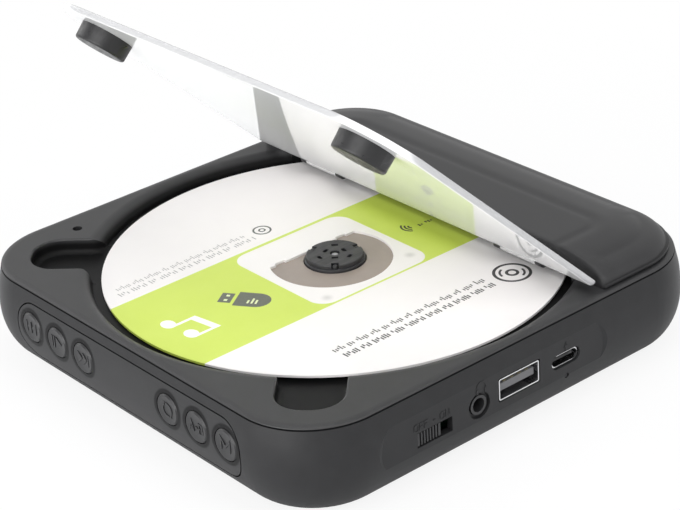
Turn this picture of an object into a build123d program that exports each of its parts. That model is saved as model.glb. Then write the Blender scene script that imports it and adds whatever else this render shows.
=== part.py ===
from build123d import *
from math import atan2, cos, radians, sin, sqrt, tan
import os

# Wall mounted disc player, lying on its back. Millimetres, +Z out of the wall, +Y towards the raised
# cover, the control buttons on the -Y face and the sockets on the +X face. The origin is the middle
# of the plane that the four rubber feet touch.

os.makedirs("parts", exist_ok=True)

# ---- driving dimensions -------------------------------------------------------------------------

# case outline, widest a little above the middle of the side
half_width = 68.5
half_depth = 67.8
corner_radius = 21.5
foot_height = 0.8
case_bottom = foot_height
widest_z = 14.2
bottom_inset = 8.8
wall = 2.2
floor_top = case_bottom + wall

# parting line between case and deck
rim_z = 24.6
rim_inset = 1.6
groove = 0.4
deck_top = 25.4
lip_depth = 3.2
lip_wall = 1.6
fit_gap = 0.1
overcut = 1.0

# disc well, whose wall is a quarter circle ahead of the raised cover
disc_y = 0.4
well_mouth_r = 65.4
well_floor_z = 21.9
well_depth = deck_top - well_floor_z
well_r = well_mouth_r - well_depth
well_floor_thickness = 1.6
well_shell_r = well_r + 1.0
collar_r = well_mouth_r + 0.4
collar_height = 2.4

# corner notches that take the pads of the lid
notch_width = 16.3
notch_end = 78.3
notch_floor_z = 21.3
notch_cup_wall = 1.4
notch_end_fillet = 7.2
notch_flare_r = 3.5
notch_floor_fillet = 1.5
notch_edge_r = 0.5

# raised cover behind the lid
cover_front_y = 30.7
cover_gap = 0.5
cover_skirt_height = 0.8
cover_setback = 1.2
cover_bead = 0.5
cover_top = 31.8
cover_slope = 18.0
cover_radius_rate = 0.8
cover_wall = 2.0

# lid, drawn open by lid_angle from its closed place
lid_angle = 43.3
lid_width = 129.2
lid_depth = 90.8
lid_thickness = 1.6
lid_free_radius = 17.5
lid_hinge_radius = 2.0
hinge_y = 29.1
hinge_z = 26.7
hinge_x = 38.0
barrel_r = 1.25
barrel_length = 12.0
barrel_ahead = 0.6
pin_r = 0.6
arm_width = 2.2
arm_gap = 0.2
pad_r = 7.0
pad_height = 4.5
pad_x = 49.5
pad_reach = 77.2

# front buttons
button_xs = (-38.2, -27.0, -15.7, 18.9, 30.0, 41.0)
button_names = ("previous", "play", "next", "repeat", "a_b", "mode")
button_z = 15.5
button_r = 4.0
button_gap = 0.15
button_proud = 0.1
button_travel = 0.6
panel_length = 90.4
panel_height = 15.2
panel_radius = 6.8
panel_x, panel_z = 0.8, 14.2
panel_gap = 0.35
panel_flange = 1.0
panel_flange_rim = 1.4

# sockets on the right face
land_x = 68.0
land_y = (-44.6, 26.9)
land_z = (5.4, 22.4)
usb_a_y, usb_a_z = -1.4, 15.0
usb_a_width, usb_a_height, usb_a_depth = 13.1, 5.7, 14.0
usb_c_y, usb_c_z = 14.2, 14.45
usb_c_width, usb_c_height, usb_c_depth = 8.94, 3.26, 7.5
jack_y, jack_z = -14.4, 13.9
jack_bore_r = 1.8
jack_hole_r = 2.65
jack_recess_r = 3.4
jack_recess_depth = 0.8
lamp_y, lamp_z = 14.4, 9.6
lamp_r = 0.7
slot_y, slot_z = -28.45, 12.95
slot_length, slot_height = 10.9, 3.9
knob_length = 7.1
knob_height = 3.3
slot_end_gap = 0.25
shell_sheet = 0.3
socket_gap = 0.3

# boards
board_thickness = 1.6
main_board_top = 11.4
main_board_x = (29.0, 64.0)
main_board_y = (-35.5, 27.5)
button_board_y = -57.9
board_middle_y = button_board_y - board_thickness / 2
board_screw_xy = [(34.0, -31.0), (34.0, 23.0), (60.0, 23.0)]
board_post_r = 2.4
sensor_xy = (-59.0, -38.3)
sensor_r = 1.1

# mechanism under the disc
mech_cover_top = 22.4
mech_cover_thickness = 1.2
chassis_top = 17.0
chassis_thickness = 1.6
chassis_bottom = chassis_top - chassis_thickness
chassis_x = (-63.0, 27.0)
chassis_y = (-24.0, 34.0)
damper_xy = [(-59.5, -20.5), (23.5, -20.5), (23.5, 30.5), (-59.5, 30.5)]
damper_r = 3.6
damper_neck_r = 2.6
damper_lip = 1.4
damper_post_r = 3.0
rod_z = 12.4
rod_r = 1.5
rod_spacing = 28.0
lens_x = -22.0
sled_travel = 32.0
flange_r = 7.85
flange_top = 23.1
flange_bottom = 20.4
hub_r = 7.35
hub_top = 24.2
shaft_r = 1.0
spindle_motor_r = 12.0
motor_bottom = 4.4
gear_xy = (-16.0, 25.8)
gear_r, small_gear_r = 8.0, 4.0
pinion_xy = (-5.5, 27.2)
pinion_r = 2.4
gear_z = (13.0, 14.2)
rack_z = (10.2, 12.2)

# printed card lying in the well
card_r = 59.5
card_thickness = 0.6
card_hole_r = 15.9
card_hole_xy = (-0.3, -0.7)
card_chord_x = -7.7

# fixings under the case
case_screw_xy = [(-60.0, -41.0), (60.0, -41.0), (57.0, 40.0), (-57.0, 40.0)]
cover_screw_xy = [(-60.0, 33.0), (60.0, 33.0), (46.0, 57.0), (-46.0, 57.0)]
case_boss_r = 2.8
case_boss_top = 12.0
screw_r = 1.2
screw_head_r = 2.3
screw_head_height = 1.4
screw_play = 0.1
screw_head_depth = 2.0
foot_xy = [(-47.0, -47.0), (47.0, -47.0), (52.0, 50.0), (-52.0, 50.0)]
foot_r = 4.5
foot_recess = 0.9
foot_edge = 0.3
speaker_xy = [(-38.0, 45.0), (38.0, 45.0)]
speaker_r = 14.0
speaker_height = 8.0
grille_hole_r = 0.8
grille_pitch = 2.8
grille_rows = 6
keyhole_x = 40.0
keyhole_y = 4.0
keyhole_entry_r = 4.0
keyhole_slot_width = 4.2
keyhole_slot_length = 9.0
keyhole_depth = 3.4
keyhole_roof = 1.2
keyhole_pocket_width = 10.0
keyhole_pocket_extra = 8.6
keyhole_pocket_wall = 1.2
keyhole_pocket_radius = 2.0


# ---- the case outline ---------------------------------------------------------------------------

def side_inset(z):
    """Distance from the widest outline to the side of the case at height z."""
    if z >= widest_z:
        return rim_inset * ((z - widest_z) / (rim_z - widest_z)) ** 2
    drop = (widest_z - z) / (widest_z - case_bottom)
    return bottom_inset * (1 - sqrt(max(0.0, 1 - drop**2)))


def cover_inset(z):
    """Distance from the widest outline to the pillow-shaped raised cover at height z."""
    base = deck_top + cover_gap + cover_skirt_height
    rise = (z - base) / (cover_top - base)
    start = side_inset(deck_top) + cover_setback + cover_bead
    return start + cover_slope * (1 - sqrt(max(0.0, 1 - rise**2)))


def quarter_levels(top, bottom, count=6):
    """Heights that crowd towards bottom, as the points of a quarter circle do."""
    return [top + (bottom - top) * sin(radians(90 * k / count)) for k in range(count + 1)]


def outline_slab(levels, inset_at, radius_rate=1.0):
    """Solid through the case outline at each level, inset there by inset_at(z)."""
    with BuildPart() as slab:
        for z in levels:
            inset = inset_at(z)
            with BuildSketch(Plane.XY.offset(z)):
                RectangleRounded(
                    2 * (half_width - inset),
                    2 * (half_depth - inset),
                    corner_radius - radius_rate * inset,
                )
        loft()
    return slab.part


def straight_slab(bottom, top, inset):
    """Solid with straight sides on the case outline inset by inset."""
    with BuildPart() as slab:
        with BuildSketch(Plane.XY.offset(bottom)):
            RectangleRounded(2 * (half_width - inset), 2 * (half_depth - inset), corner_radius - inset)
        extrude(amount=top - bottom)
    return slab.part


case_top = rim_z - groove / 2
deck_bottom = rim_z + groove / 2
upper_levels = [widest_z + (case_top - widest_z) * k / 3 for k in (1, 2, 3)]
case_levels = sorted(quarter_levels(widest_z, case_bottom)) + upper_levels
case_outer = outline_slab(case_levels, side_inset)
inner_levels = [z for z in case_levels if z > floor_top + 1]
inner_levels = [floor_top] + inner_levels + [deck_top + 1]
case_inner = outline_slab(inner_levels, lambda z: side_inset(z) + wall)
panel_back = outline_slab(inner_levels, lambda z: side_inset(z) + wall + panel_flange)

front_plane = Plane(origin=(0, -half_depth - 2, 0), x_dir=(1, 0, 0), z_dir=(0, 1, 0))
right_plane = Plane(origin=(half_width + 2, 0, 0), x_dir=(0, 1, 0), z_dir=(-1, 0, 0))
right_start = half_width + 2


def on_front(x, z):
    """Local place on front_plane, whose second axis points down."""
    return (x, -z)


def on_right(y, z):
    """Local place on right_plane, whose second axis points down."""
    return (y, -z)


# ---- bottom case --------------------------------------------------------------------------------

land_centre = on_right(sum(land_y) / 2, sum(land_z) / 2)
land_size = (land_y[1] - land_y[0], land_z[1] - land_z[0])
land_end_r = land_size[1] / 2 - fit_gap
land_slope = 65.0
land_lead = 0.6
land_grow = land_lead * tan(radians(land_slope))
socket_cut = right_start - main_board_x[1] + overcut
socket_corner_r = 0.5
panel_block_depth = 12.0
rib_x = 45.6
rib_size = (3.0, 4.4)
rib_height = 9.0
board_slot_z = 8.5
board_slot_length = 96.0
board_slot_gap = 0.02

with BuildPart() as bottom_case:
    add(case_outer)
    add(case_inner, mode=Mode.SUBTRACT)
    # opening for the button plate
    with BuildSketch(front_plane):
        with Locations(on_front(panel_x, panel_z)):
            RectangleRounded(
                panel_length + 2 * panel_gap,
                panel_height + 2 * panel_gap,
                panel_radius + panel_gap,
            )
    extrude(amount=panel_block_depth, mode=Mode.SUBTRACT)
    # flat land around the sockets, with sloping ends
    with BuildSketch(right_plane.offset(right_start - land_x - land_lead)):
        with Locations(land_centre):
            RectangleRounded(*[size + 2 * land_grow for size in land_size], land_end_r + land_grow)
    extrude(amount=land_lead, taper=land_slope, mode=Mode.SUBTRACT)
    # socket, lamp and switch openings
    with BuildSketch(right_plane):
        with Locations(on_right(usb_a_y, usb_a_z)):
            RectangleRounded(usb_a_width + 2 * socket_gap, usb_a_height + 2 * socket_gap, socket_corner_r)
        with Locations(on_right(usb_c_y, usb_c_z)):
            SlotOverall(usb_c_width + 2 * socket_gap, usb_c_height + 2 * socket_gap)
        with Locations(on_right(jack_y, jack_z)):
            Circle(jack_hole_r)
        with Locations(on_right(lamp_y, lamp_z)):
            Circle(lamp_r + fit_gap / 2)
        with Locations(on_right(slot_y, slot_z)):
            Rectangle(slot_length, slot_height)
    extrude(amount=socket_cut, mode=Mode.SUBTRACT)
    # round recess around the headphone socket
    with BuildSketch(right_plane):
        with Locations(on_right(jack_y, jack_z)):
            Circle(jack_recess_r)
    extrude(amount=right_start - land_x + jack_recess_depth, mode=Mode.SUBTRACT)
    # screw bosses and posts
    with BuildSketch(Plane.XY.offset(floor_top - overcut)):
        with Locations(*case_screw_xy):
            Circle(case_boss_r)
    extrude(amount=case_boss_top - floor_top + overcut)
    with BuildSketch(Plane.XY.offset(floor_top)):
        with Locations(*damper_xy):
            Circle(damper_post_r)
    extrude(amount=chassis_bottom - damper_lip - floor_top)
    with BuildSketch(Plane.XY.offset(floor_top)):
        with Locations(*board_screw_xy):
            Circle(board_post_r)
    extrude(amount=main_board_top - board_thickness - floor_top)
    # slotted ribs that hold the button board
    with BuildSketch(Plane.XY.offset(floor_top)):
        with Locations((-rib_x, board_middle_y), (rib_x, board_middle_y)):
            Rectangle(*rib_size)
    extrude(amount=rib_height)
    with BuildSketch(Plane.XY.offset(board_slot_z)):
        with Locations((0, board_middle_y)):
            Rectangle(board_slot_length, board_thickness + 2 * board_slot_gap)
    extrude(amount=rib_height, mode=Mode.SUBTRACT)
    # keyhole pockets for the wall screws, closed above
    for x in (-keyhole_x, keyhole_x):
        with BuildSketch(Plane.XY.offset(floor_top)):
            with Locations((x, keyhole_y + keyhole_slot_length / 2)):
                RectangleRounded(
                    keyhole_pocket_width + 2 * keyhole_pocket_wall,
                    keyhole_slot_length + keyhole_pocket_extra + 2 * keyhole_pocket_wall,
                    keyhole_pocket_radius,
                )
        extrude(amount=keyhole_depth + keyhole_roof)
        with BuildSketch(Plane.XY.offset(floor_top)):
            with Locations((x, keyhole_y + keyhole_slot_length / 2)):
                RectangleRounded(
                    keyhole_pocket_width,
                    keyhole_slot_length + keyhole_pocket_extra,
                    keyhole_pocket_radius,
                )
        extrude(amount=keyhole_depth, mode=Mode.SUBTRACT)
        with BuildSketch(Plane.XY):
            with Locations((x, keyhole_y)):
                Circle(keyhole_entry_r)
            with Locations((x, keyhole_y + keyhole_slot_length / 2)):
                SlotCenterToCenter(keyhole_slot_length, keyhole_slot_width, rotation=90)
        extrude(amount=floor_top + overcut, mode=Mode.SUBTRACT)
    # speaker grilles, foot recesses and screw holes
    with BuildSketch(Plane.XY):
        with Locations(*speaker_xy):
            with HexLocations(grille_pitch / sqrt(3), grille_rows, grille_rows):
                Circle(grille_hole_r)
    extrude(amount=floor_top + overcut, mode=Mode.SUBTRACT)
    with BuildSketch(Plane.XY):
        with Locations(*foot_xy):
            Circle(foot_r + fit_gap / 2)
    extrude(amount=case_bottom + foot_recess, mode=Mode.SUBTRACT)
    with BuildSketch(Plane.XY):
        with Locations(*case_screw_xy):
            Circle(screw_head_r + 2 * screw_play)
    extrude(amount=case_bottom + screw_head_depth, mode=Mode.SUBTRACT)
    with BuildSketch(Plane.XY):
        with Locations(*case_screw_xy):
            Circle(screw_r + screw_play)
    extrude(amount=case_boss_top, mode=Mode.SUBTRACT)
    with BuildSketch(Plane.XY.offset(floor_top + wall)):
        with Locations(*damper_xy):
            Circle(screw_r)
    extrude(amount=chassis_top, mode=Mode.SUBTRACT)

bottom_case.part.label = "bottom_case"
export_step(bottom_case.part, "parts/bottom_case.step")


# ---- top deck with the disc well and the notches ------------------------------------------------

notch_start = 52.0
notch_run = notch_end - notch_start
mech_opening_gap = 0.3
mech_cover_x = (-50.0, 24.0)
mech_cover_half = 25.0
mech_tongue_x = -59.0
mech_tongue_half = 11.0
mech_corner_r = 6.0
tongue_overlap = 6.0
deck_shoulder = 1.8
lip_web = 1.4
screw_hole_depth = 8.0
main_size = (mech_cover_x[1] - mech_cover_x[0], 2 * mech_cover_half)
tongue_size = (mech_cover_x[0] - mech_tongue_x + tongue_overlap, 2 * mech_tongue_half)
main_centre = (sum(mech_cover_x) / 2, disc_y)
tongue_centre = (mech_tongue_x + tongue_size[0] / 2, disc_y)
block_size = 4 * half_width
notch_half = notch_width / 2
flare_x = sqrt((well_r + notch_flare_r) ** 2 - (notch_half + notch_flare_r) ** 2)
flare_share = well_r / (well_r + notch_flare_r)
# where the flare meets the wall of the well
flare_end = (flare_x * flare_share, (notch_half + notch_flare_r) * flare_share)
flare_turn = atan2(flare_x, notch_half + notch_flare_r)


def deck_inset(z):
    """Distance from the widest outline to the rounded shoulder of the deck at height z."""
    rise = (z - deck_bottom) / (deck_top - deck_bottom)
    return side_inset(deck_bottom) + deck_shoulder * (1 - sqrt(max(0.0, 1 - rise**2)))


def notch_plane(side, z):
    """Plane at height z with its first axis along the front diagonal on the given side."""
    return Plane(origin=(0, disc_y, z), x_dir=(side, -1, 0), z_dir=(0, 0, 1))


def on_notch(point):
    """True for a point of a notch that lies outside the card."""
    along = (abs(point.X) + disc_y - point.Y) / sqrt(2)
    across = abs(abs(point.X) - disc_y + point.Y) / sqrt(2)
    return card_r < along < notch_end + overcut and across < flare_end[1]


def notch_cutter(side):
    """Cutter for one notch, with a flared mouth, a rounded end and a soft edge to its floor."""
    flare_middle = (
        flare_x - notch_flare_r * sin(flare_turn / 2),
        notch_half + notch_flare_r - notch_flare_r * cos(flare_turn / 2),
    )
    end_middle = (
        notch_end - notch_end_fillet * (1 - cos(radians(45))),
        notch_half - notch_end_fillet * (1 - sin(radians(45))),
    )
    with BuildPart() as cutter:
        with BuildSketch(notch_plane(side, notch_floor_z)):
            with BuildLine():
                Polyline((notch_start, 0), (notch_start, flare_end[1]), flare_end)
                ThreePointArc(flare_end, flare_middle, (flare_x, notch_half))
                Line((flare_x, notch_half), (notch_end - notch_end_fillet, notch_half))
                ThreePointArc(
                    (notch_end - notch_end_fillet, notch_half),
                    end_middle,
                    (notch_end, notch_half - notch_end_fillet),
                )
                Line((notch_end, notch_half - notch_end_fillet), (notch_end, 0))
                mirror(about=Plane.XZ)
            make_face()
        extrude(amount=deck_top + overcut - notch_floor_z)
        fillet(cutter.faces().sort_by(Axis.Z)[0].edges(), notch_floor_fillet)
    return cutter.part


front_block = Pos(0, cover_front_y - half_depth, 0) * Box(block_size, 2 * half_depth, block_size)

with BuildPart() as well_mouth:
    with BuildSketch(Plane.XZ.offset(-disc_y)):
        with BuildLine():
            mouth_foot = (well_r, well_floor_z)
            mouth_head = (well_mouth_r, deck_top)
            mouth_middle = (
                well_mouth_r - well_depth * cos(radians(45)),
                well_floor_z + well_depth * sin(radians(45)),
            )
            ThreePointArc(mouth_foot, mouth_middle, mouth_head)
            Polyline(mouth_head, (well_mouth_r, deck_top + overcut), (0, deck_top + overcut))
            Polyline((0, deck_top + overcut), (0, well_floor_z), mouth_foot)
        make_face()
    revolve(axis=Axis((0, disc_y, 0), (0, 0, 1)))
    add(front_block, mode=Mode.INTERSECT)

with BuildPart() as well_collar:
    add(straight_slab(deck_bottom - collar_height, deck_bottom, side_inset(deck_bottom) + wall + fit_gap))
    with BuildSketch(Plane.XY.offset(deck_bottom - collar_height)):
        with Locations((0, disc_y)):
            Circle(collar_r)
    extrude(amount=collar_height, mode=Mode.INTERSECT)

with BuildPart() as top_deck:
    add(outline_slab(quarter_levels(deck_bottom, deck_top, 5), deck_inset))
    add(straight_slab(deck_bottom - lip_depth, deck_bottom, side_inset(deck_bottom) + wall + fit_gap))
    lip_inner = side_inset(deck_bottom) + wall + fit_gap + lip_wall
    add(straight_slab(deck_bottom - lip_depth, deck_bottom - lip_web, lip_inner), mode=Mode.SUBTRACT)
    # shell of the well and of the two notches
    with BuildSketch(Plane.XY.offset(well_floor_z - well_floor_thickness)):
        with Locations((0, disc_y)):
            Circle(well_shell_r)
    extrude(amount=well_depth + well_floor_thickness)
    for side in (-1, 1):
        with BuildSketch(notch_plane(side, notch_floor_z - notch_cup_wall)):
            with Locations((notch_start + notch_run / 2, 0)):
                Rectangle(notch_run + 2 * notch_cup_wall, notch_width + 2 * notch_cup_wall)
            with Locations(((notch_start + flare_x + notch_cup_wall) / 2, 0)):
                Rectangle(flare_x + notch_cup_wall - notch_start, 2 * (flare_end[1] + notch_cup_wall))
        extrude(amount=deck_bottom - notch_floor_z)
    add(well_collar.part)
    # bosses over the case screws
    with BuildSketch(Plane.XY.offset(case_boss_top)):
        with Locations(*case_screw_xy):
            Circle(case_boss_r)
    extrude(amount=deck_bottom - case_boss_top)
    # notches, then the bowl of the well that opens into them
    for side in (-1, 1):
        add(notch_cutter(side), mode=Mode.SUBTRACT)
    notch_rims = top_deck.edges().group_by(Axis.Z)[-1].filter_by(lambda edge: on_notch(edge.center()))
    fillet(notch_rims, notch_edge_r)
    with BuildSketch(Plane.XY.offset(well_floor_z)):
        with Locations((0, disc_y)):
            Circle(well_r)
    extrude(amount=well_depth + overcut, mode=Mode.SUBTRACT)
    add(well_mouth.part, mode=Mode.SUBTRACT)
    # opening over the mechanism
    with BuildSketch(Plane.XY.offset(well_floor_z - well_floor_thickness)):
        with Locations(main_centre):
            RectangleRounded(*[size + 2 * mech_opening_gap for size in main_size], mech_corner_r)
        with Locations(tongue_centre):
            Rectangle(*[size + 2 * mech_opening_gap for size in tongue_size])
    extrude(amount=well_depth, mode=Mode.SUBTRACT)
    # lid sensor hole, cover screws and case screws
    with BuildSketch(Plane.XY.offset(well_floor_z - wall)):
        with Locations(sensor_xy):
            Circle(sensor_r + 2 * fit_gap)
        with Locations(*cover_screw_xy):
            Circle(screw_r + screw_play)
    extrude(amount=deck_top, mode=Mode.SUBTRACT)
    with BuildSketch(Plane.XY.offset(case_boss_top)):
        with Locations(*case_screw_xy):
            Circle(screw_r)
    extrude(amount=screw_hole_depth, mode=Mode.SUBTRACT)

top_deck.part.label = "top_deck"
export_step(top_deck.part, "parts/top_deck.step")


# ---- raised rear cover --------------------------------------------------------------------------

skirt_bottom = deck_top + cover_gap
skirt_top = skirt_bottom + cover_skirt_height
cover_levels = quarter_levels(skirt_top, cover_top, 9)
cover_outer = outline_slab(cover_levels, cover_inset, cover_radius_rate)
skirt_inset = side_inset(deck_top) + cover_setback
hollow_top = cover_top - cover_wall
hollow_levels = [z for z in cover_levels if z < hollow_top - groove] + [hollow_top]
cover_hollow = outline_slab(hollow_levels, lambda z: cover_inset(z) + cover_wall, cover_radius_rate)
hollow_front = front_block.moved(Pos(0, cover_wall, 0))
skirt_shadow = 0.7
cover_boss_r = 2.4
cover_screw_depth = 3.0
arm_offset = barrel_length / 2 + arm_gap + arm_width / 2
arm_xs = [side * hinge_x + way * arm_offset for side in (-1, 1) for way in (-1, 1)]

with BuildPart() as rear_cover:
    add(cover_outer)
    add(straight_slab(skirt_bottom, skirt_top, skirt_inset))
    add(straight_slab(deck_top, skirt_bottom, skirt_inset + skirt_shadow))
    add(front_block, mode=Mode.SUBTRACT)
    add(cover_hollow - hollow_front, mode=Mode.SUBTRACT)
    skirt_hollow = straight_slab(deck_top - overcut, skirt_top, skirt_inset + cover_wall)
    add(skirt_hollow - hollow_front, mode=Mode.SUBTRACT)
    # passage for the disc under the front wall
    with BuildSketch(Plane.XY.offset(deck_top - overcut)):
        with Locations((0, disc_y)):
            Circle(well_r)
    extrude(amount=skirt_bottom - deck_top + overcut, mode=Mode.SUBTRACT)
    # bosses for the cover screws
    with BuildSketch(Plane.XY.offset(deck_top)):
        with Locations(*cover_screw_xy):
            Circle(cover_boss_r)
    extrude(until=Until.NEXT)
    with BuildSketch(Plane.XY.offset(deck_top)):
        with Locations(*cover_screw_xy):
            Circle(screw_r)
    extrude(amount=cover_screw_depth, mode=Mode.SUBTRACT)
    # arms that carry the hinge pins
    for x in arm_xs:
        arm_plane = Plane(origin=(x - arm_width / 2, 0, 0), x_dir=(0, 1, 0), z_dir=(1, 0, 0))
        with BuildSketch(arm_plane):
            with Locations((hinge_y, hinge_z)):
                Circle(barrel_r)
            arm_run = cover_front_y + overcut - hinge_y
            with Locations((hinge_y + arm_run / 2, hinge_z)):
                Rectangle(arm_run, 2 * barrel_r)
        extrude(amount=arm_width)
    with BuildSketch(Plane.YZ.offset(-hinge_x - barrel_length)):
        with Locations((hinge_y, hinge_z)):
            Circle(pin_r)
    extrude(amount=2 * (hinge_x + barrel_length), mode=Mode.SUBTRACT)

rear_cover.part.label = "rear_cover"
export_step(rear_cover.part, "parts/rear_cover.step")


# ---- lid, its pads and the hinge pins -----------------------------------------------------------

lid_edge_r = 0.35
lid_under_r = 1.15
arm_clearance = 0.4
arm_notch_depth = 2.4
pad_taper = 1.5
pad_edge_r = 0.7
long_edge = 15.0
pin_play = 0.05
lid_normal = (0, sin(radians(lid_angle)), cos(radians(lid_angle)))
lid_inward = (0, cos(radians(lid_angle)), -sin(radians(lid_angle)))
barrel_lift = lid_thickness / 2
lid_origin = (
    0,
    hinge_y - barrel_ahead * lid_inward[1] - barrel_lift * lid_normal[1],
    hinge_z - barrel_ahead * lid_inward[2] - barrel_lift * lid_normal[2],
)
# the first axis runs along the hinge, the second from the free edge to the hinge
lid_plane = Plane(origin=lid_origin, x_dir=(1, 0, 0), z_dir=lid_normal)

with BuildPart() as lid:
    with BuildSketch(lid_plane) as lid_outline:
        with Locations((0, -lid_depth / 2)):
            Rectangle(lid_width, lid_depth)
        fillet(lid_outline.vertices().group_by(Axis.Y)[0], lid_free_radius)
        fillet(lid_outline.vertices().group_by(Axis.Y)[-1], lid_hinge_radius)
        with Locations(*[(x, 0) for x in arm_xs]):
            Rectangle(arm_width + 2 * arm_clearance, arm_notch_depth, mode=Mode.SUBTRACT)
    extrude(amount=lid_thickness)
    for side, rim_r in ((0, lid_under_r), (-1, lid_edge_r)):
        plate_face = lid.faces().filter_by(lid_plane).sort_by(Axis(lid_origin, lid_normal))[side]
        fillet(plate_face.edges().filter_by(lambda edge: edge.length > long_edge), rim_r)
    for x in (-hinge_x, hinge_x):
        barrel_start = Plane(origin=(x - barrel_length / 2, 0, 0), x_dir=(0, 1, 0), z_dir=(1, 0, 0))
        with BuildSketch(barrel_start):
            with Locations((hinge_y, hinge_z)):
                Circle(barrel_r)
        extrude(amount=barrel_length)
        with BuildSketch(barrel_start):
            with Locations((hinge_y, hinge_z)):
                Circle(pin_r + pin_play)
        extrude(amount=barrel_length, mode=Mode.SUBTRACT)

lid.part.label = "lid"
export_step(lid.part, "parts/lid.step")

pad_places = [(-pad_x, -pad_reach), (pad_x, -pad_reach)]
magnet_r = 4.0
magnet_thickness = 2.0
magnet_cover = 1.0

with BuildPart() as lid_pads:
    with BuildSketch(lid_plane):
        with Locations(*pad_places):
            Circle(pad_r)
    extrude(amount=-pad_height, taper=pad_taper)
    pad_ends = lid_pads.faces().filter_by(lid_plane).sort_by(Axis(lid_origin, lid_normal))[:2]
    fillet(pad_ends.edges(), pad_edge_r)
    with BuildSketch(lid_plane.offset(-pad_height + magnet_cover)):
        with Locations(*pad_places):
            Circle(magnet_r)
    extrude(amount=magnet_thickness, mode=Mode.SUBTRACT)

lid_pads.part.label = "lid_pads"
export_step(lid_pads.part, "parts/lid_pads.step")

with BuildPart() as pad_magnets:
    with BuildSketch(lid_plane.offset(-pad_height + magnet_cover)):
        with Locations(*pad_places):
            Circle(magnet_r)
    extrude(amount=magnet_thickness)

pad_magnets.part.label = "pad_magnets"
export_step(pad_magnets.part, "parts/pad_magnets.step")

with BuildPart() as latch_magnets:
    for side in (-1, 1):
        with BuildSketch(notch_plane(side, notch_floor_z - notch_cup_wall - magnet_thickness)):
            with Locations((sqrt(2) * pad_x, 0)):
                Circle(magnet_r)
        extrude(amount=magnet_thickness)

latch_magnets.part.label = "latch_magnets"
export_step(latch_magnets.part, "parts/latch_magnets.step")

pin_length = 2 * (arm_offset + arm_width / 2)

with BuildPart() as hinge_pins:
    for x in (-hinge_x, hinge_x):
        with BuildSketch(Plane.YZ.offset(x - pin_length / 2)):
            with Locations((hinge_y, hinge_z)):
                Circle(pin_r)
        extrude(amount=pin_length)

hinge_pins.part.label = "hinge_pins"
export_step(hinge_pins.part, "parts/hinge_pins.step")


# ---- front button plate, buttons and their board ------------------------------------------------

# rim behind the plate that is wider than its opening and stays under the lip of the deck
rim_low = panel_z - panel_height / 2 - panel_flange_rim
rim_high = deck_bottom - lip_depth - fit_gap

with BuildPart() as panel_rim_block:
    add(case_inner)
    add(panel_back, mode=Mode.SUBTRACT)
    with BuildSketch(front_plane):
        with Locations(on_front(panel_x, (rim_low + rim_high) / 2)):
            RectangleRounded(panel_length + 2 * panel_flange_rim, rim_high - rim_low, panel_radius)
    extrude(amount=panel_block_depth, mode=Mode.INTERSECT)

with BuildPart() as button_plate:
    add(case_outer)
    add(case_inner, mode=Mode.SUBTRACT)
    with BuildSketch(front_plane):
        with Locations(on_front(panel_x, panel_z)):
            RectangleRounded(panel_length, panel_height, panel_radius)
    extrude(amount=panel_block_depth, mode=Mode.INTERSECT)
    add(panel_rim_block.part)
    with BuildSketch(front_plane):
        with Locations(*[on_front(x, button_z) for x in button_xs]):
            Circle(button_r + button_gap)
    extrude(amount=panel_block_depth, mode=Mode.SUBTRACT)

button_plate.part.label = "button_plate"
export_step(button_plate.part, "parts/button_plate.step")

button_face_y = -half_depth - button_proud
button_flange_y = -63.7
button_flange_r = 5.0
button_stem_end = -62.95
button_edge = 0.35
button_dish = 0.25
button_dish_r = 3.5
dish_ball_r = (button_dish_r**2 + button_dish**2) / (2 * button_dish)
tact_gap = 0.15
tact_tip = button_stem_end + button_travel + tact_gap


def button(x):
    """Round cap with a retaining flange behind the plate and a short stem."""
    with BuildPart() as cap:
        with BuildSketch(Plane(origin=(x, button_face_y, button_z), x_dir=(1, 0, 0), z_dir=(0, 1, 0))):
            Circle(button_r)
        extrude(amount=button_flange_y - button_face_y)
        chamfer(cap.edges().group_by(Axis.Y)[0], button_edge)
        with BuildSketch(Plane(origin=(x, button_flange_y, button_z), x_dir=(1, 0, 0), z_dir=(0, 1, 0))):
            Circle(button_flange_r)
        extrude(amount=button_stem_end - button_flange_y)
        with Locations((x, button_face_y + button_dish - dish_ball_r, button_z)):
            Sphere(dish_ball_r, mode=Mode.SUBTRACT)
    return cap.part


for button_name, button_x in zip(button_names, button_xs):
    cap_part = button(button_x)
    cap_part.label = f"button_{button_name}"
    export_step(cap_part, f"parts/button_{button_name}.step")

button_board_z = (board_slot_z, 19.7)
button_board_length = 92.0

with BuildPart() as button_board:
    with BuildSketch(Plane.XZ.offset(-button_board_y)):
        with Locations((0, sum(button_board_z) / 2)):
            Rectangle(button_board_length, button_board_z[1] - button_board_z[0])
    extrude(amount=board_thickness)

button_board.part.label = "button_board"
export_step(button_board.part, "parts/button_board.step")

board_front = button_board_y - board_thickness
tact_size = 4.5
tact_plunger_r = 1.1
tact_plunger = 0.5

with BuildPart() as tact_switches:
    with BuildSketch(Plane.XZ.offset(-board_front)):
        with Locations(*[(x, button_z) for x in button_xs]):
            Rectangle(tact_size, tact_size)
    extrude(amount=board_front - tact_tip - tact_plunger)
    with BuildSketch(Plane.XZ.offset(-tact_tip - tact_plunger)):
        with Locations(*[(x, button_z) for x in button_xs]):
            Circle(tact_plunger_r)
    extrude(amount=tact_plunger)

tact_switches.part.label = "tact_switches"
export_step(tact_switches.part, "parts/tact_switches.step")


# ---- main board and its sockets -----------------------------------------------------------------

main_board_bottom = main_board_top - board_thickness
board_corner_r = 1.5
board_size = (main_board_x[1] - main_board_x[0], main_board_y[1] - main_board_y[0])

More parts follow.
